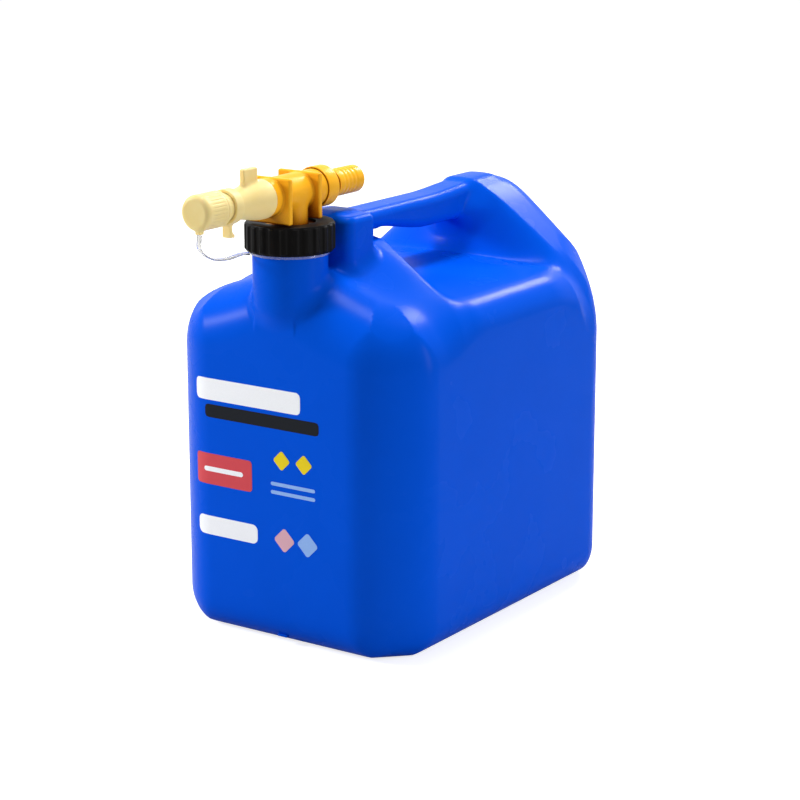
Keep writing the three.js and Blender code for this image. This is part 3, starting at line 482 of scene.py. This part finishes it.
def tankOutside(x, y, z):
    grip = roundMin(tankHandle(x, y, z), tankBlock(x, y, z), handle["blend"])
    # the handle runs into the rear shoulder with a wide sweep under its top
    sweep = handle["sweep"] + handle["sweepMore"] * fade(y, *handle["sweepSpan"]) * (1 - fade(z, *handle["sweepTop"]))
    solid = roundMin(roundMin(tankBody(x, y, z), tankNeck(x, y, z), tank["neckBlend"]), grip, sweep)
    sides = roundMax(np.abs(x) - tank["recessHalfWidth"], within(np.abs(y), *tank["recessSpan"]), tank["recessCorner"])
    recess = roundMax(sides, z - tank["recessDepth"], tank["recessEdge"])
    return roundMax(solid, -recess, tank["recessEdge"])


def offNeck(x, y):
    return np.hypot(x, y - tank["neckY"]) - tank["neckBore"]


def tankSkin(x, y, z):
    mouth = np.maximum(offNeck(x, y), tank["lap"] - z)
    return roundMax(tankOutside(x, y, z), -mouth, tank["mouthEdge"])


def tankHollow(x, y, z):
    depth = within(z, tank["lap"] - tank["lapDepth"], tank["neckTop"] + tank["mouthClear"])
    mouth = np.maximum(offNeck(x, y), depth)
    return roundMin(tankOutside(x, y, z) + tank["wall"], mouth, tank["mouthEdge"])


def aboveLap(x, y, z):
    edge = tank["lapEdge"]
    return (offNeck(x, y) > -edge) | (z > tank["lap"] + edge) | (z < tank["lap"] - tank["lapUnder"])


def belowLap(x, y, z):
    return (z < tank["lap"]) | (offNeck(x, y) > tank["lapReach"])


# the outside and the inside of the wall are two skins, which meet in the neck's bore
for skin in (
    moulded("tankOutside", tankSkin, tank["lows"], tank["highs"], tank["step"], hdpeBlue, aboveLap),
    moulded("tankInside", tankHollow, tank["lows"], tank["highs"], tank["insideStep"], hdpeBlue, belowLap, True),
):
    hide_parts("tank")
    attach(skin, "can")


# One ridge about the neck, from its root's to its crest's radius, both ends tapering out
thread = {
    "pitch": 6, "rootHalf": 1.5, "crestHalf": 0.8, "turnSteps": 72, "taperSteps": 9, "endShare": 0.4,
    # root and crest radius, start height, turns
    "neck": (29.5, 31.9, 326.8, 1.5), "collar": (33.2, 30.9, 329.8, 1.25),
}


def helixRidge(name, root, crest, startZ, turns, material):
    steps = int(turns * thread["turnSteps"])
    section = [(0, -thread["rootHalf"]), (1, -thread["crestHalf"]), (1, thread["crestHalf"]), (0, thread["rootHalf"])]
    points, faces = [], []
    for i in range(steps + 1):
        turn = i / thread["turnSteps"]
        angle = turn * 2 * math.pi
        grow = min(1, i / thread["taperSteps"], (steps - i) / thread["taperSteps"])
        height = thread["endShare"] + (1 - thread["endShare"]) * grow
        for share, lift in section:
            radius = root + (crest - root) * share * grow
            points.append([radius * math.cos(angle), tank["neckY"] + radius * math.sin(angle),
                           startZ + thread["pitch"] * turn + lift * height])
    for i in range(steps):
        for j in range(4):
            k = (j + 1) % 4
            faces.append([4 * i + j, 4 * i + k, 4 * i + 4 + k, 4 * i + 4 + j])
    faces += [[0, 3, 2, 1], [4 * steps, 4 * steps + 1, 4 * steps + 2, 4 * steps + 3]]
    piece = meshFrom(name, points, faces, material)
    tidyMesh(piece)
    return piece


neckThread = helixRidge("neckThread", *thread["neck"], hdpeBlue)
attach(neckThread, "can")


# The mould's pinch-off leaves a small tail low on the front
tail = {
    "spans": ((-5, 5), (-165.9, -160), (6.9, 9.1)), "edge": 0.9, "step": 0.35,
    "lows": (-7, -168, 5), "highs": (7, -158, 11),
}


def pinchTail(x, y, z):
    return brick(x, y, z, tail["spans"], tail["edge"])


tailPiece = moulded("pinchTail", pinchTail, tail["lows"], tail["highs"], tail["step"], hdpeBlue)
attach(tailPiece, "can")


# Colour panels on the tank's front, each a thin film that follows the wall
panels = {
    "filmLift": 0.16, "edgeSink": 0.3, "edgePoints": 96, "rings": 24, "wallSpan": (-190.0, -120.0), "halvings": 40,
    "inks": {"white": "f4f6fa", "black": "14181f", "red": "cf4a52", "yellow": "e9cf1f", "sky": "8fb4ee",
             "rose": "d9a9b6"},
    # ink, middle X, middle Z, width, height, corner, lean
    "shapes": [
        ("white", -28, 207, 106, 18, 4, 0.0),
        ("black", -14, 189, 114, 11, 3, 0.0),
        ("red", -53, 140, 58, 26, 3, 0.0),
        ("white", -53, 140, 40, 4, 2, 0.0),
        ("yellow", 6, 158, 12, 12, 2, 0.78),
        ("yellow", 28, 158, 12, 12, 2, 0.78),
        ("sky", 17, 138, 44, 3, 1.5, 0.0),
        ("sky", 17, 131, 44, 3, 1.5, 0.0),
        ("white", -50, 92, 62, 16, 5, 0.0),
        ("rose", 8, 92, 15, 15, 2.5, 0.78),
        ("sky", 31, 92, 15, 15, 2.5, 0.78),
    ],
}
filmInks = {name: printedFilm(name + "PrintedFilm", colour) for name, colour in panels["inks"].items()}


def wallY(x, z):
    # halves the span until the wall's outside is met
    outer, inner = [np.full_like(x, end) for end in panels["wallSpan"]]
    for _ in range(panels["halvings"]):
        middle = (outer + inner) / 2
        clear = tankOutside(x, middle, z) > 0
        outer, inner = np.where(clear, middle, outer), np.where(clear, inner, middle)
    return inner


def roundedPath(width, height, corner, count):
    turn = np.radians(np.arange(0, 360, 10) + 5)
    across = np.sign(np.cos(turn)) * (width / 2 - corner) + corner * np.cos(turn)
    up = np.sign(np.sin(turn)) * (height / 2 - corner) + corner * np.sin(turn)
    across, up = np.append(across, across[0]), np.append(up, up[0])
    walked = np.append(0, np.cumsum(np.hypot(np.diff(across), np.diff(up))))
    stops = np.linspace(0, walked[-1], count, endpoint=False)
    return np.interp(stops, walked, across), np.interp(stops, walked, up)


def filmPanel(name, ink, midX, midZ, width, height, corner, lean, layer):
    count = panels["edgePoints"]
    spreadX, spreadZ = roundedPath(width, height, corner, count)
    edgeX = spreadX * math.cos(lean) - spreadZ * math.sin(lean)
    edgeZ = spreadX * math.sin(lean) + spreadZ * math.cos(lean)
    shares = np.linspace(0, 1, panels["rings"] + 1)[1:]
    x = np.concatenate([[midX]] + [midX + edgeX * s for s in shares] + [midX + edgeX])
    z = np.concatenate([[midZ]] + [midZ + edgeZ * s for s in shares] + [midZ + edgeZ])
    lift = np.full(len(x), panels["filmLift"] * layer)
    lift[-count:] = -panels["edgeSink"]
    points = np.stack([x, wallY(x, z) - lift, z], 1)
    faces = [[0, 1 + (i + 1) % count, 1 + i] for i in range(count)]
    for ring in range(panels["rings"]):
        low = 1 + count * ring
        high = low + count
        faces += [[low + i, low + (i + 1) % count, high + (i + 1) % count, high + i] for i in range(count)]
    piece = meshFrom(name, points, faces, filmInks[ink])
    tidyMesh(piece)
    return piece


for number, (ink, midX, midZ, width, height, corner, lean) in enumerate(panels["shapes"]):
    over = any(abs(midX - s[1]) < (width + s[3]) / 2 and abs(midZ - s[2]) < (height + s[4]) / 2
               for s in panels["shapes"][:number])
    film = filmPanel("film_%02d_%s" % (number, ink), ink, midX, midZ, width, height, corner, lean, 2 if over else 1)
    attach(film, "can")
print("tank and its panels made")


# Screw collar
collar = {
    "crest": 36, "valley": 34.8, "inside": 32.8, "hole": 21, "low": 325, "high": 348, "lipLow": 345.3,
    "ribs": 24, "ribPoints": 14, "ribTurn": 0.6, "ribSteepness": 6, "ribWiden": 0.1, "ribInset": 0.9, "ribFade": 1.2,
    "edge": 1.1, "rows": 9, "rowInset": 2.2, "skin": 0.4,
}


def collarRibs(angle, radius, place):
    if radius < collar["valley"] - collar["skin"]:
        return 0 * angle
    beat = np.cos(angle * collar["ribs"] + collar["ribTurn"])
    height = 1 / (1 + np.exp(-collar["ribSteepness"] * (beat + collar["ribWiden"])))
    fromEnd = min(place - collar["low"], collar["high"] - place) - collar["ribInset"]
    return (collar["crest"] - collar["valley"]) * height * min(1, max(0, fromEnd / collar["ribFade"]))


outer, inside = collar["valley"], collar["inside"]
collarCorners = [[inside, collar["low"]], [outer, collar["low"]]]
rows = np.linspace(collar["low"] + collar["rowInset"], collar["high"] - collar["rowInset"], collar["rows"])
collarCorners += [[outer, z] for z in rows]
collarCorners += [[outer, collar["high"]], [collar["hole"], collar["high"]],
                  [collar["hole"], collar["lipLow"]], [inside, collar["lipLow"]]]
collarPiece = turnedPiece("screwCollar", collarCorners, polypropyleneBlack, (0, tank["neckY"], 0),
                          radius=collar["edge"], segments=collar["ribs"] * collar["ribPoints"], ribs=collarRibs)
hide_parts("collar")
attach(collarPiece, "collar")
collarThread = helixRidge("collarThread", *thread["collar"], polypropyleneBlack)
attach(collarThread, "collar")
print("collar made")


# Nozzle body
nozzle = {
    "axisZ": 370, "barrelRadius": 15, "barrelSpan": (-184, -111), "flowRadius": 12, "flowEnd": -134,
    "chamberRadius": 11.5, "chamberStart": -124, "flangeRadius": 32, "flangeSpan": (341.6, 345),
    "riserRadius": 14.4, "riserBore": 12.6, "ribHalfWidth": 20.5, "ribSpan": (349.2, 385.6),
    "frontRib": -173.5, "rearRib": -135, "ribThickness": 4.5, "rodHole": 2.9, "wellRoof": 6,
    "barrelEdge": 0.9, "flangeEdge": 0.6, "ribEdge": 1.6, "boreEdge": 0.3,
    "riserBlend": 2, "flangeBlend": 0.8, "ribBlend": 1.2,
    "step": 0.75, "lows": (-34, -187, 339), "highs": (34, -108, 390),
}


def nozzleField(x, y, z):
    up = z - nozzle["axisZ"]
    around = np.hypot(x, up)
    upright = np.hypot(x, y - tank["neckY"])
    barrel = roundMax(around - nozzle["barrelRadius"], within(y, *nozzle["barrelSpan"]), nozzle["barrelEdge"])
    flange = roundMax(upright - nozzle["flangeRadius"], within(z, *nozzle["flangeSpan"]), nozzle["flangeEdge"])
    riser = np.maximum(upright - nozzle["riserRadius"], within(z, nozzle["flangeSpan"][0], nozzle["axisZ"]))
    whole = roundMin(roundMin(barrel, riser, nozzle["riserBlend"]), flange, nozzle["flangeBlend"])
    for ribY in (nozzle["frontRib"], nozzle["rearRib"]):
        half = nozzle["ribThickness"] / 2
        rib = brick(x, y, z, ((-nozzle["ribHalfWidth"], nozzle["ribHalfWidth"]), (ribY - half, ribY + half),
                              nozzle["ribSpan"]), nozzle["ribEdge"])
        whole = roundMin(whole, rib, nozzle["ribBlend"])
    flow = np.maximum(around - nozzle["flowRadius"], y - nozzle["flowEnd"])
    chamber = np.maximum(around - nozzle["chamberRadius"], nozzle["chamberStart"] - y)
    well = np.maximum(upright - nozzle["riserBore"], z - nozzle["axisZ"] + nozzle["wellRoof"])
    rodHole = around - nozzle["rodHole"]
    bores = np.minimum(np.minimum(flow, chamber), np.minimum(well, rodHole))
    return roundMax(whole, -bores, nozzle["boreEdge"])


nozzlePiece = moulded("nozzleHousing", nozzleField, nozzle["lows"], nozzle["highs"], nozzle["step"], nylonAmber)
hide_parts("nozzle_body")
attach(nozzlePiece, "nozzle")


# Spout
spout = {
    "tip": -245, "tipRadius": 11, "noseEnd": -222, "rootRadius": 15.6, "rootStart": -190, "rootEnd": -184.3,
    "spigotRadius": 11.7, "spigotEnd": -172, "bore": 9.2, "tabSpan": (-209, -192), "tabTop": 396,
    "tabHalfThickness": 2.6, "tabRoot": 10, "grooveRadius": 10, "grooveSpan": (-181.5, -178.5),
    "widenEarly": 4, "widenLate": 3, "overlap": 2, "edge": 0.9, "tabEdge": 1.5, "tabBlend": 2.5, "boreEdge": 0.5,
    "step": 0.6, "lows": (-18, -247, 352), "highs": (18, -170, 398),
}


def spoutField(x, y, z):
    around = np.hypot(x, z - nozzle["axisZ"])
    widening = fade(y, spout["noseEnd"] - spout["widenEarly"], spout["rootStart"] + spout["widenLate"])
    cone = spout["tipRadius"] + (spout["rootRadius"] - spout["tipRadius"]) * widening
    horn = roundMax(around - cone, within(y, spout["tip"], spout["rootEnd"]), spout["edge"])
    spigotSpan = within(y, spout["rootEnd"] - spout["overlap"], spout["spigotEnd"])
    spigot = np.maximum(around - spout["spigotRadius"], spigotSpan)
    groove = np.maximum(within(y, *spout["grooveSpan"]), spout["grooveRadius"] - around)
    spigot = np.maximum(spigot, -groove)
    tab = brick(x, y, z, ((-spout["tabHalfThickness"], spout["tabHalfThickness"]), spout["tabSpan"],
                          (nozzle["axisZ"] + spout["tabRoot"], spout["tabTop"])), spout["tabEdge"])
    whole = roundMin(np.minimum(horn, spigot), tab, spout["tabBlend"])
    return roundMax(whole, spout["bore"] - around, spout["boreEdge"])


spoutPiece = moulded("pourSpout", spoutField, spout["lows"], spout["highs"], spout["step"], hdpeNatural)
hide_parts("spout_tube")
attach(spoutPiece, "nozzle")


# Rim hook
hook = {
    "ringSpan": (-232, -223), "inner": 11.3, "outer": 13.7, "tipZ": 346, "halfWidth": 4, "thickness": 3.2,
    "barbReach": 4.1, "barbRise": (2.2, 5.2), "barbSlant": 0.7,
    "ringEdge": 0.8, "armEdge": 0.9, "barbEdge": 0.7, "boreEdge": 0.4, "armBlend": 2.5, "barbBlend": 0.8,
    "step": 0.45, "lows": (-16, -235, 344), "highs": (16, -220, 386),
}


def hookField(x, y, z):
    around = np.hypot(x, z - nozzle["axisZ"])
    ring = roundMax(around - hook["outer"], within(y, *hook["ringSpan"]), hook["ringEdge"])
    middle = sum(hook["ringSpan"]) / 2
    arm = brick(x, y, z, ((-hook["halfWidth"], hook["halfWidth"]),
                          (middle - hook["thickness"] / 2, middle + hook["thickness"] / 2),
                          (hook["tipZ"], nozzle["axisZ"] - hook["inner"])), hook["armEdge"])
    barbLow, barbHigh = hook["barbRise"]
    barb = brick(x, y, z + hook["barbSlant"] * (y - middle),
                 ((-hook["halfWidth"], hook["halfWidth"]), (middle, middle + hook["barbReach"]),
                  (hook["tipZ"] + barbLow, hook["tipZ"] + barbHigh)), hook["barbEdge"])
    whole = roundMin(roundMin(ring, arm, hook["armBlend"]), barb, hook["barbBlend"])
    return roundMax(whole, hook["inner"] - around, hook["boreEdge"])


hookPiece = moulded("rimHook", hookField, hook["lows"], hook["highs"], hook["step"], hdpeNatural)
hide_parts("rim_hook")
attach(hookPiece, "nozzle")


# Thumb button and bezel
button = {
    "radius": 11.2, "span": (-95.4, -62), "stemRadius": 9.6, "stemBore": 7.6, "stemStart": -110, "boreEnd": -78.6,
    "socket": 2.8, "socketEnd": -68, "ringSpan": (-90, -70), "rings": 4, "ringDepth": 0.35, "edge": 1.8,
    "dishRadius": 8, "dishFoot": 7.2, "dishEdge": 0.8, "dishDepth": 1.3, "ringRows": 41, "skin": 0.5,
}
# where an outline meets its axis
axisRadius = 0.01


def gripRings(angle, radius, place):
    low, high = button["ringSpan"]
    if radius < button["radius"] - button["skin"] or not low < place < high:
        return 0 * angle
    turn = (place - low) / (high - low) * 2 * math.pi * button["rings"]
    return 0 * angle - button["ringDepth"] * (0.5 + 0.5 * math.cos(turn + math.pi))


start, end = button["span"]
buttonCorners = [[button["stemBore"], button["stemStart"]], [button["stemRadius"], button["stemStart"]],
                 [button["stemRadius"], start], [button["radius"], start]]
buttonCorners += [[button["radius"], y] for y in np.linspace(*button["ringSpan"], button["ringRows"])]
buttonCorners += [[button["radius"], end], [button["dishRadius"], end],
                  [button["dishFoot"], end - button["dishEdge"]], [axisRadius, end - button["dishDepth"]],
                  [axisRadius, button["socketEnd"]], [button["socket"], button["socketEnd"]],
                  [button["socket"], button["boreEnd"]], [button["stemBore"], button["boreEnd"]]]
barrelAxis = (0, 0, nozzle["axisZ"])
buttonPiece = turnedPiece("thumbButton", buttonCorners, nylonAmber, barrelAxis, "y", button["edge"], ribs=gripRings)
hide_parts("thumb_button")
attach(buttonPiece, "button")

bezel = {"radius": 16.6, "span": (-118, -104), "sleeve": 15.3, "shelf": -110.7, "hole": 10, "edge": 1.4}
bezelPiece = turnedPiece("buttonBezel", [
    [bezel["sleeve"], bezel["span"][0]], [bezel["radius"], bezel["span"][0]], [bezel["radius"], bezel["span"][1]],
    [bezel["hole"], bezel["span"][1]], [bezel["hole"], bezel["shelf"]], [bezel["sleeve"], bezel["shelf"]],
], nylonAmber, barrelAxis, "y", bezel["edge"])
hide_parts("button_bezel")
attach(bezelPiece, "nozzle")


# Dust cap
cap = {
    "inner": 11.3, "outer": 14, "mouth": -239, "end": -266.9, "wall": 2.7, "crown": 4.5, "bead": 3,
    "flutes": 30, "fluteDepth": 0.25, "fluteStart": (243, 246), "fluteEnd": (258, 262),
    "lugY": -260.9, "lugHalf": 2.5, "lugLow": 353.4, "lugRoot": 12,
    "beadEdge": 0.8, "hollowEdge": 2, "lugEdge": 0.8, "lugBlend": 1, "mouthEdge": 0.3,
    "step": 0.5, "lows": (-16, -269, 352), "highs": (16, -237, 386),
}


def capField(x, y, z):
    around = np.hypot(x, z - nozzle["axisZ"])
    angle = np.arctan2(x, z - nozzle["axisZ"])
    reach = fade(-y, *cap["fluteStart"]) * (1 - fade(-y, *cap["fluteEnd"]))
    grip = cap["fluteDepth"] * np.clip(np.cos(angle * cap["flutes"]), 0, 1) * reach
    shell = roundMax(around - cap["outer"] + grip, within(y, cap["end"], cap["mouth"]), cap["crown"])
    bead = roundMax(around - cap["outer"], within(y, cap["mouth"] - cap["bead"], cap["mouth"]), cap["beadEdge"])
    hollow = roundMax(around - cap["inner"], cap["end"] + cap["wall"] - y, cap["hollowEdge"])
    half = cap["lugHalf"]
    lug = brick(x, y, z, ((-half, half), (cap["lugY"] - half, cap["lugY"] + half),
                          (cap["lugLow"], nozzle["axisZ"] - cap["lugRoot"])), cap["lugEdge"])
    return roundMax(roundMin(np.minimum(shell, bead), lug, cap["lugBlend"]), -hollow, cap["mouthEdge"])


capPiece = moulded("dustCap", capField, cap["lows"], cap["highs"], cap["step"], hdpeNatural)
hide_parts("dust_cap")
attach(capPiece, "cap")
print("nozzle, spout, button and cap made")


# Tether: a ring that is trapped round the neck, and a thin strap from it to the cap
tether = {
    # inner and outer radius, bottom and top
    "ring": (30.4, 31.8, 322.4, 324.6), "ringEdge": 0.6, "ringSides": 120, "halfWidth": 2.4, "halfThickness": 0.8,
    # the route's point where the front half meets the rear one
    "middle": 5, "pointSteps": 16, "sides": 20,
    "route": [(0, -260.9, 353), (0, -261.2, 350.2), (-0.5, -260.9, 342.6), (-3, -250.8, 335.4), (-8, -233.9, 329.4),
              (-15, -210.8, 325.4), (-22, -190.7, 323.7), (-23.4, -180.4, 323.5), (-19.3, -175.6, 323.5)],
}
low, high, bottom, top = tether["ring"]
ringPiece = turnedPiece("tetherRing", [[low, bottom], [high, bottom], [high, top], [low, top]], ldpeClear,
                        (0, tank["neckY"], 0), radius=tether["ringEdge"], segments=tether["ringSides"])
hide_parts("tether_ring")
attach(ringPiece, "can")


def smoothRoute(points, steps):
    points = np.array(points, float)
    padded = np.vstack([2 * points[0] - points[1], points, 2 * points[-1] - points[-2]])
    route, marks = [], []
    for i in range(len(points) - 1):
        a, b, c, d = padded[i:i + 4]
        marks.append(len(route))
        for share in np.linspace(0, 1, steps, endpoint=False):
            route.append(0.5 * (2 * b + (c - a) * share + (2 * a - 5 * b + 4 * c - d) * share ** 2
                                + (3 * b - a - 3 * c + d) * share ** 3))
    marks.append(len(route))
    return np.array(route + [points[-1]]), marks


def strapPart(name, path, tangents, across):
    turn = np.linspace(0, 2 * np.pi, tether["sides"], endpoint=False)
    points, faces = [], []
    for place, ahead, side in zip(path, tangents, across):
        over = np.cross(ahead, side)
        for angle in turn:
            points.append(place + side * tether["halfWidth"] * math.cos(angle)
                          + over * tether["halfThickness"] * math.sin(angle))
    count = len(turn)
    for i in range(len(path) - 1):
        faces += [[count * i + j, count * i + (j + 1) % count, count * (i + 1) + (j + 1) % count, count * (i + 1) + j]
                  for j in range(count)]
    faces += [list(range(count))[::-1], [count * (len(path) - 1) + j for j in range(count)]]
    return meshFrom(name, points, faces, ldpeClear)


route, marks = smoothRoute(tether["route"], tether["pointSteps"])
tangents = np.gradient(route, axis=0)
tangents /= np.linalg.norm(tangents, axis=1, keepdims=True)
across = [np.array([1.0, 0, 0])]
for ahead in tangents[1:]:
    side = across[-1] - ahead * (across[-1] @ ahead)
    across.append(side / np.linalg.norm(side))
across = np.array(across)
split = marks[tether["middle"]]
strapFront = strapPart("tetherStrapFront", route[:split + 1], tangents[:split + 1], across[:split + 1])
strapRear = strapPart("tetherStrapRear", route[split:], tangents[split:], across[split:])
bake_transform(strapFront)
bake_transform(strapRear)
for strap in (strapFront, strapRear):
    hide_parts("cap_tether")
print("tether made")


# The valve at the tip, and the finishes of the pieces inside
valve = {
    # radius, front and rear
    "head": (9.8, -250.2, -247.6), "seal": (10.4, -247.3, -245.3), "hole": 2.8, "headFace": 1,
    "headEdge": 0.5, "sealEdge": 0.4,
}
radius, start, end = valve["head"]
headPiece = turnedPiece("valveHead", [
    [axisRadius, start], [radius, start], [radius, end], [valve["hole"], end],
    [valve["hole"], start + valve["headFace"]], [axisRadius, start + valve["headFace"]],
], acetal, barrelAxis, "y", valve["headEdge"])
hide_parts("valve_head")
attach(headPiece, "button")
radius, start, end = valve["seal"]
sealPiece = turnedPiece("valveSeal", [[valve["hole"], start], [radius, start], [radius, end], [valve["hole"], end]],
                        nitrile, barrelAxis, "y", valve["sealEdge"])
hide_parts("valve_seal")
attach(sealPiece, "button")

# Return spring: a wire coil about the barrel's axis
spring = {"radius": 5.55, "wire": 0.6, "span": (-119.4, -81.3), "turns": 8, "turnSteps": 24, "sides": 10, "stroke": 8}
share = np.linspace(0, 1, spring["turns"] * spring["turnSteps"] + 1)
angle = share * spring["turns"] * 2 * math.pi
outward = np.stack([np.cos(angle), 0 * angle, np.sin(angle)], 1)
start, end = spring["span"]
axis = np.stack([0 * share, start + (end - start) * share, 0 * share + nozzle["axisZ"]], 1)
sides = spring["sides"]
around = np.arange(sides) / sides * 2 * math.pi
out, along = np.cos(around)[None, :, None], np.sin(around)[None, :, None]
points = (axis + outward * spring["radius"])[:, None] \
    + spring["wire"] * (out * outward[:, None] + along * np.array([0, 1, 0]))
faces = [list(range(sides)), [len(share) * sides - 1 - i for i in range(sides)]]
for ring in range(len(share) - 1):
    low = ring * sides
    faces += [[low + i, low + sides + i, low + sides + (i + 1) % sides, low + (i + 1) % sides] for i in range(sides)]
springPiece = meshFrom("returnSpring", points.reshape(-1, 3), faces, stainless)
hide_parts("return_spring")
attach(springPiece, "nozzle")
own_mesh(springPiece)

inner = {
    "neck_gasket": nitrile, "spout_seal": nitrile, "rod_seal": nitrile, "rod_guide": acetal, "seal_retainer": acetal,
    "vent_tube": ldpeClear, "valve_rod": stainless, "spring_seat": stainless, "rod_clip": stainless,
}
for node, material in inner.items():
    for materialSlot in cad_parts[node].material_slots:
        materialSlot.material = material
print("inner pieces finished")


# Studio: pale floor, white surroundings and four soft lamps. The floor is seen pale and keeps the shadow.
studio = {
    "ambient": 0.35, "floorSeen": 0.78, "floorMirrored": 0.05, "floorColour": "d2d2d2", "floorHalf": 6,
    "lampAim": (0, 0, 0.17),
    # name, place, width, height, power
    "lamps": [("lampLeft", (-1.9, -1.3, 1.1), 0.4, 0.4, 38), ("lampRight", (2.1, 0.5, 0.6), 0.4, 1.1, 16),
              ("lampTop", (-0.2, 0.1, 2.2), 0.6, 0.6, 36), ("lampBack", (-0.1, 2.0, 1.6), 0.5, 0.5, 28)],
}


def seenStrength(tree, byCamera, byGloss):
    path = addNode(tree, "ShaderNodeLightPath")
    bent = {0: path.outputs["Is Glossy Ray"], 1: path.outputs["Is Transmission Ray"]}
    gloss = addNode(tree, "ShaderNodeMath", links=bent, operation="MAXIMUM")
    scaled = addNode(tree, "ShaderNodeMath", {1: byGloss}, {0: gloss.outputs[0]}, operation="MULTIPLY")
    direct = addNode(tree, "ShaderNodeMath", {1: byCamera}, {0: path.outputs["Is Camera Ray"]}, operation="MULTIPLY")
    return addNode(tree, "ShaderNodeMath", links={0: scaled.outputs[0], 1: direct.outputs[0]}, operation="MAXIMUM")


floorMaterial, tree, place = startMaterial("paperFloor")
fibre = noise(tree, place, 4, 2.0)
fibreBump = addNode(tree, "ShaderNodeBump", {"Distance": 0.01 * mm}, {"Height": fibre})
paper = addNode(tree, "ShaderNodeBsdfDiffuse", {"Color": linear(studio["floorColour"])},
                {"Normal": fibreBump.outputs[0]})
glow = seenStrength(tree, studio["floorSeen"], studio["floorMirrored"])
light = addNode(tree, "ShaderNodeEmission", links={"Strength": glow.outputs[0]})
both = addNode(tree, "ShaderNodeAddShader", links={0: paper.outputs[0], 1: light.outputs[0]})
finishMaterial(tree, both)
floorMesh = bpy.data.meshes.new("floor")
half = studio["floorHalf"]
floorMesh.from_pydata([(-half, -half, 0), (half, -half, 0), (half, half, 0), (-half, half, 0)], [], [(0, 1, 2, 3)])
floorMesh.materials.append(floorMaterial)
floor = bpy.data.objects.new("floor", floorMesh)
bpy.context.collection.objects.link(floor)

world = bpy.data.worlds.new("softStudio")
bpy.context.scene.world = world
world.use_nodes = True
tree = world.node_tree
tree.nodes.clear()
white = addNode(tree, "ShaderNodeBackground", {"Strength": 1.0})
white.inputs["Color"].default_value = (1, 1, 1, 1)
soft = addNode(tree, "ShaderNodeBackground", {"Strength": studio["ambient"]})
soft.inputs["Color"].default_value = (1, 1, 1, 1)
seen = seenStrength(tree, 1, 1)
choice = addNode(tree, "ShaderNodeMixShader", links={0: seen.outputs[0], 1: soft.outputs[0], 2: white.outputs[0]})
addNode(tree, "ShaderNodeOutputWorld", links={"Surface": choice.outputs[0]})
for name, place, width, height, power in studio["lamps"]:
    lamp = bpy.data.lights.new(name, "AREA")
    lamp.shape = "RECTANGLE"
    lamp.size, lamp.size_y = width, height
    lamp.energy = power
    aimed(bpy.data.objects.new(name, lamp), place, studio["lampAim"])
bpy.context.scene.view_settings.view_transform = "Standard"
print("studio lit")
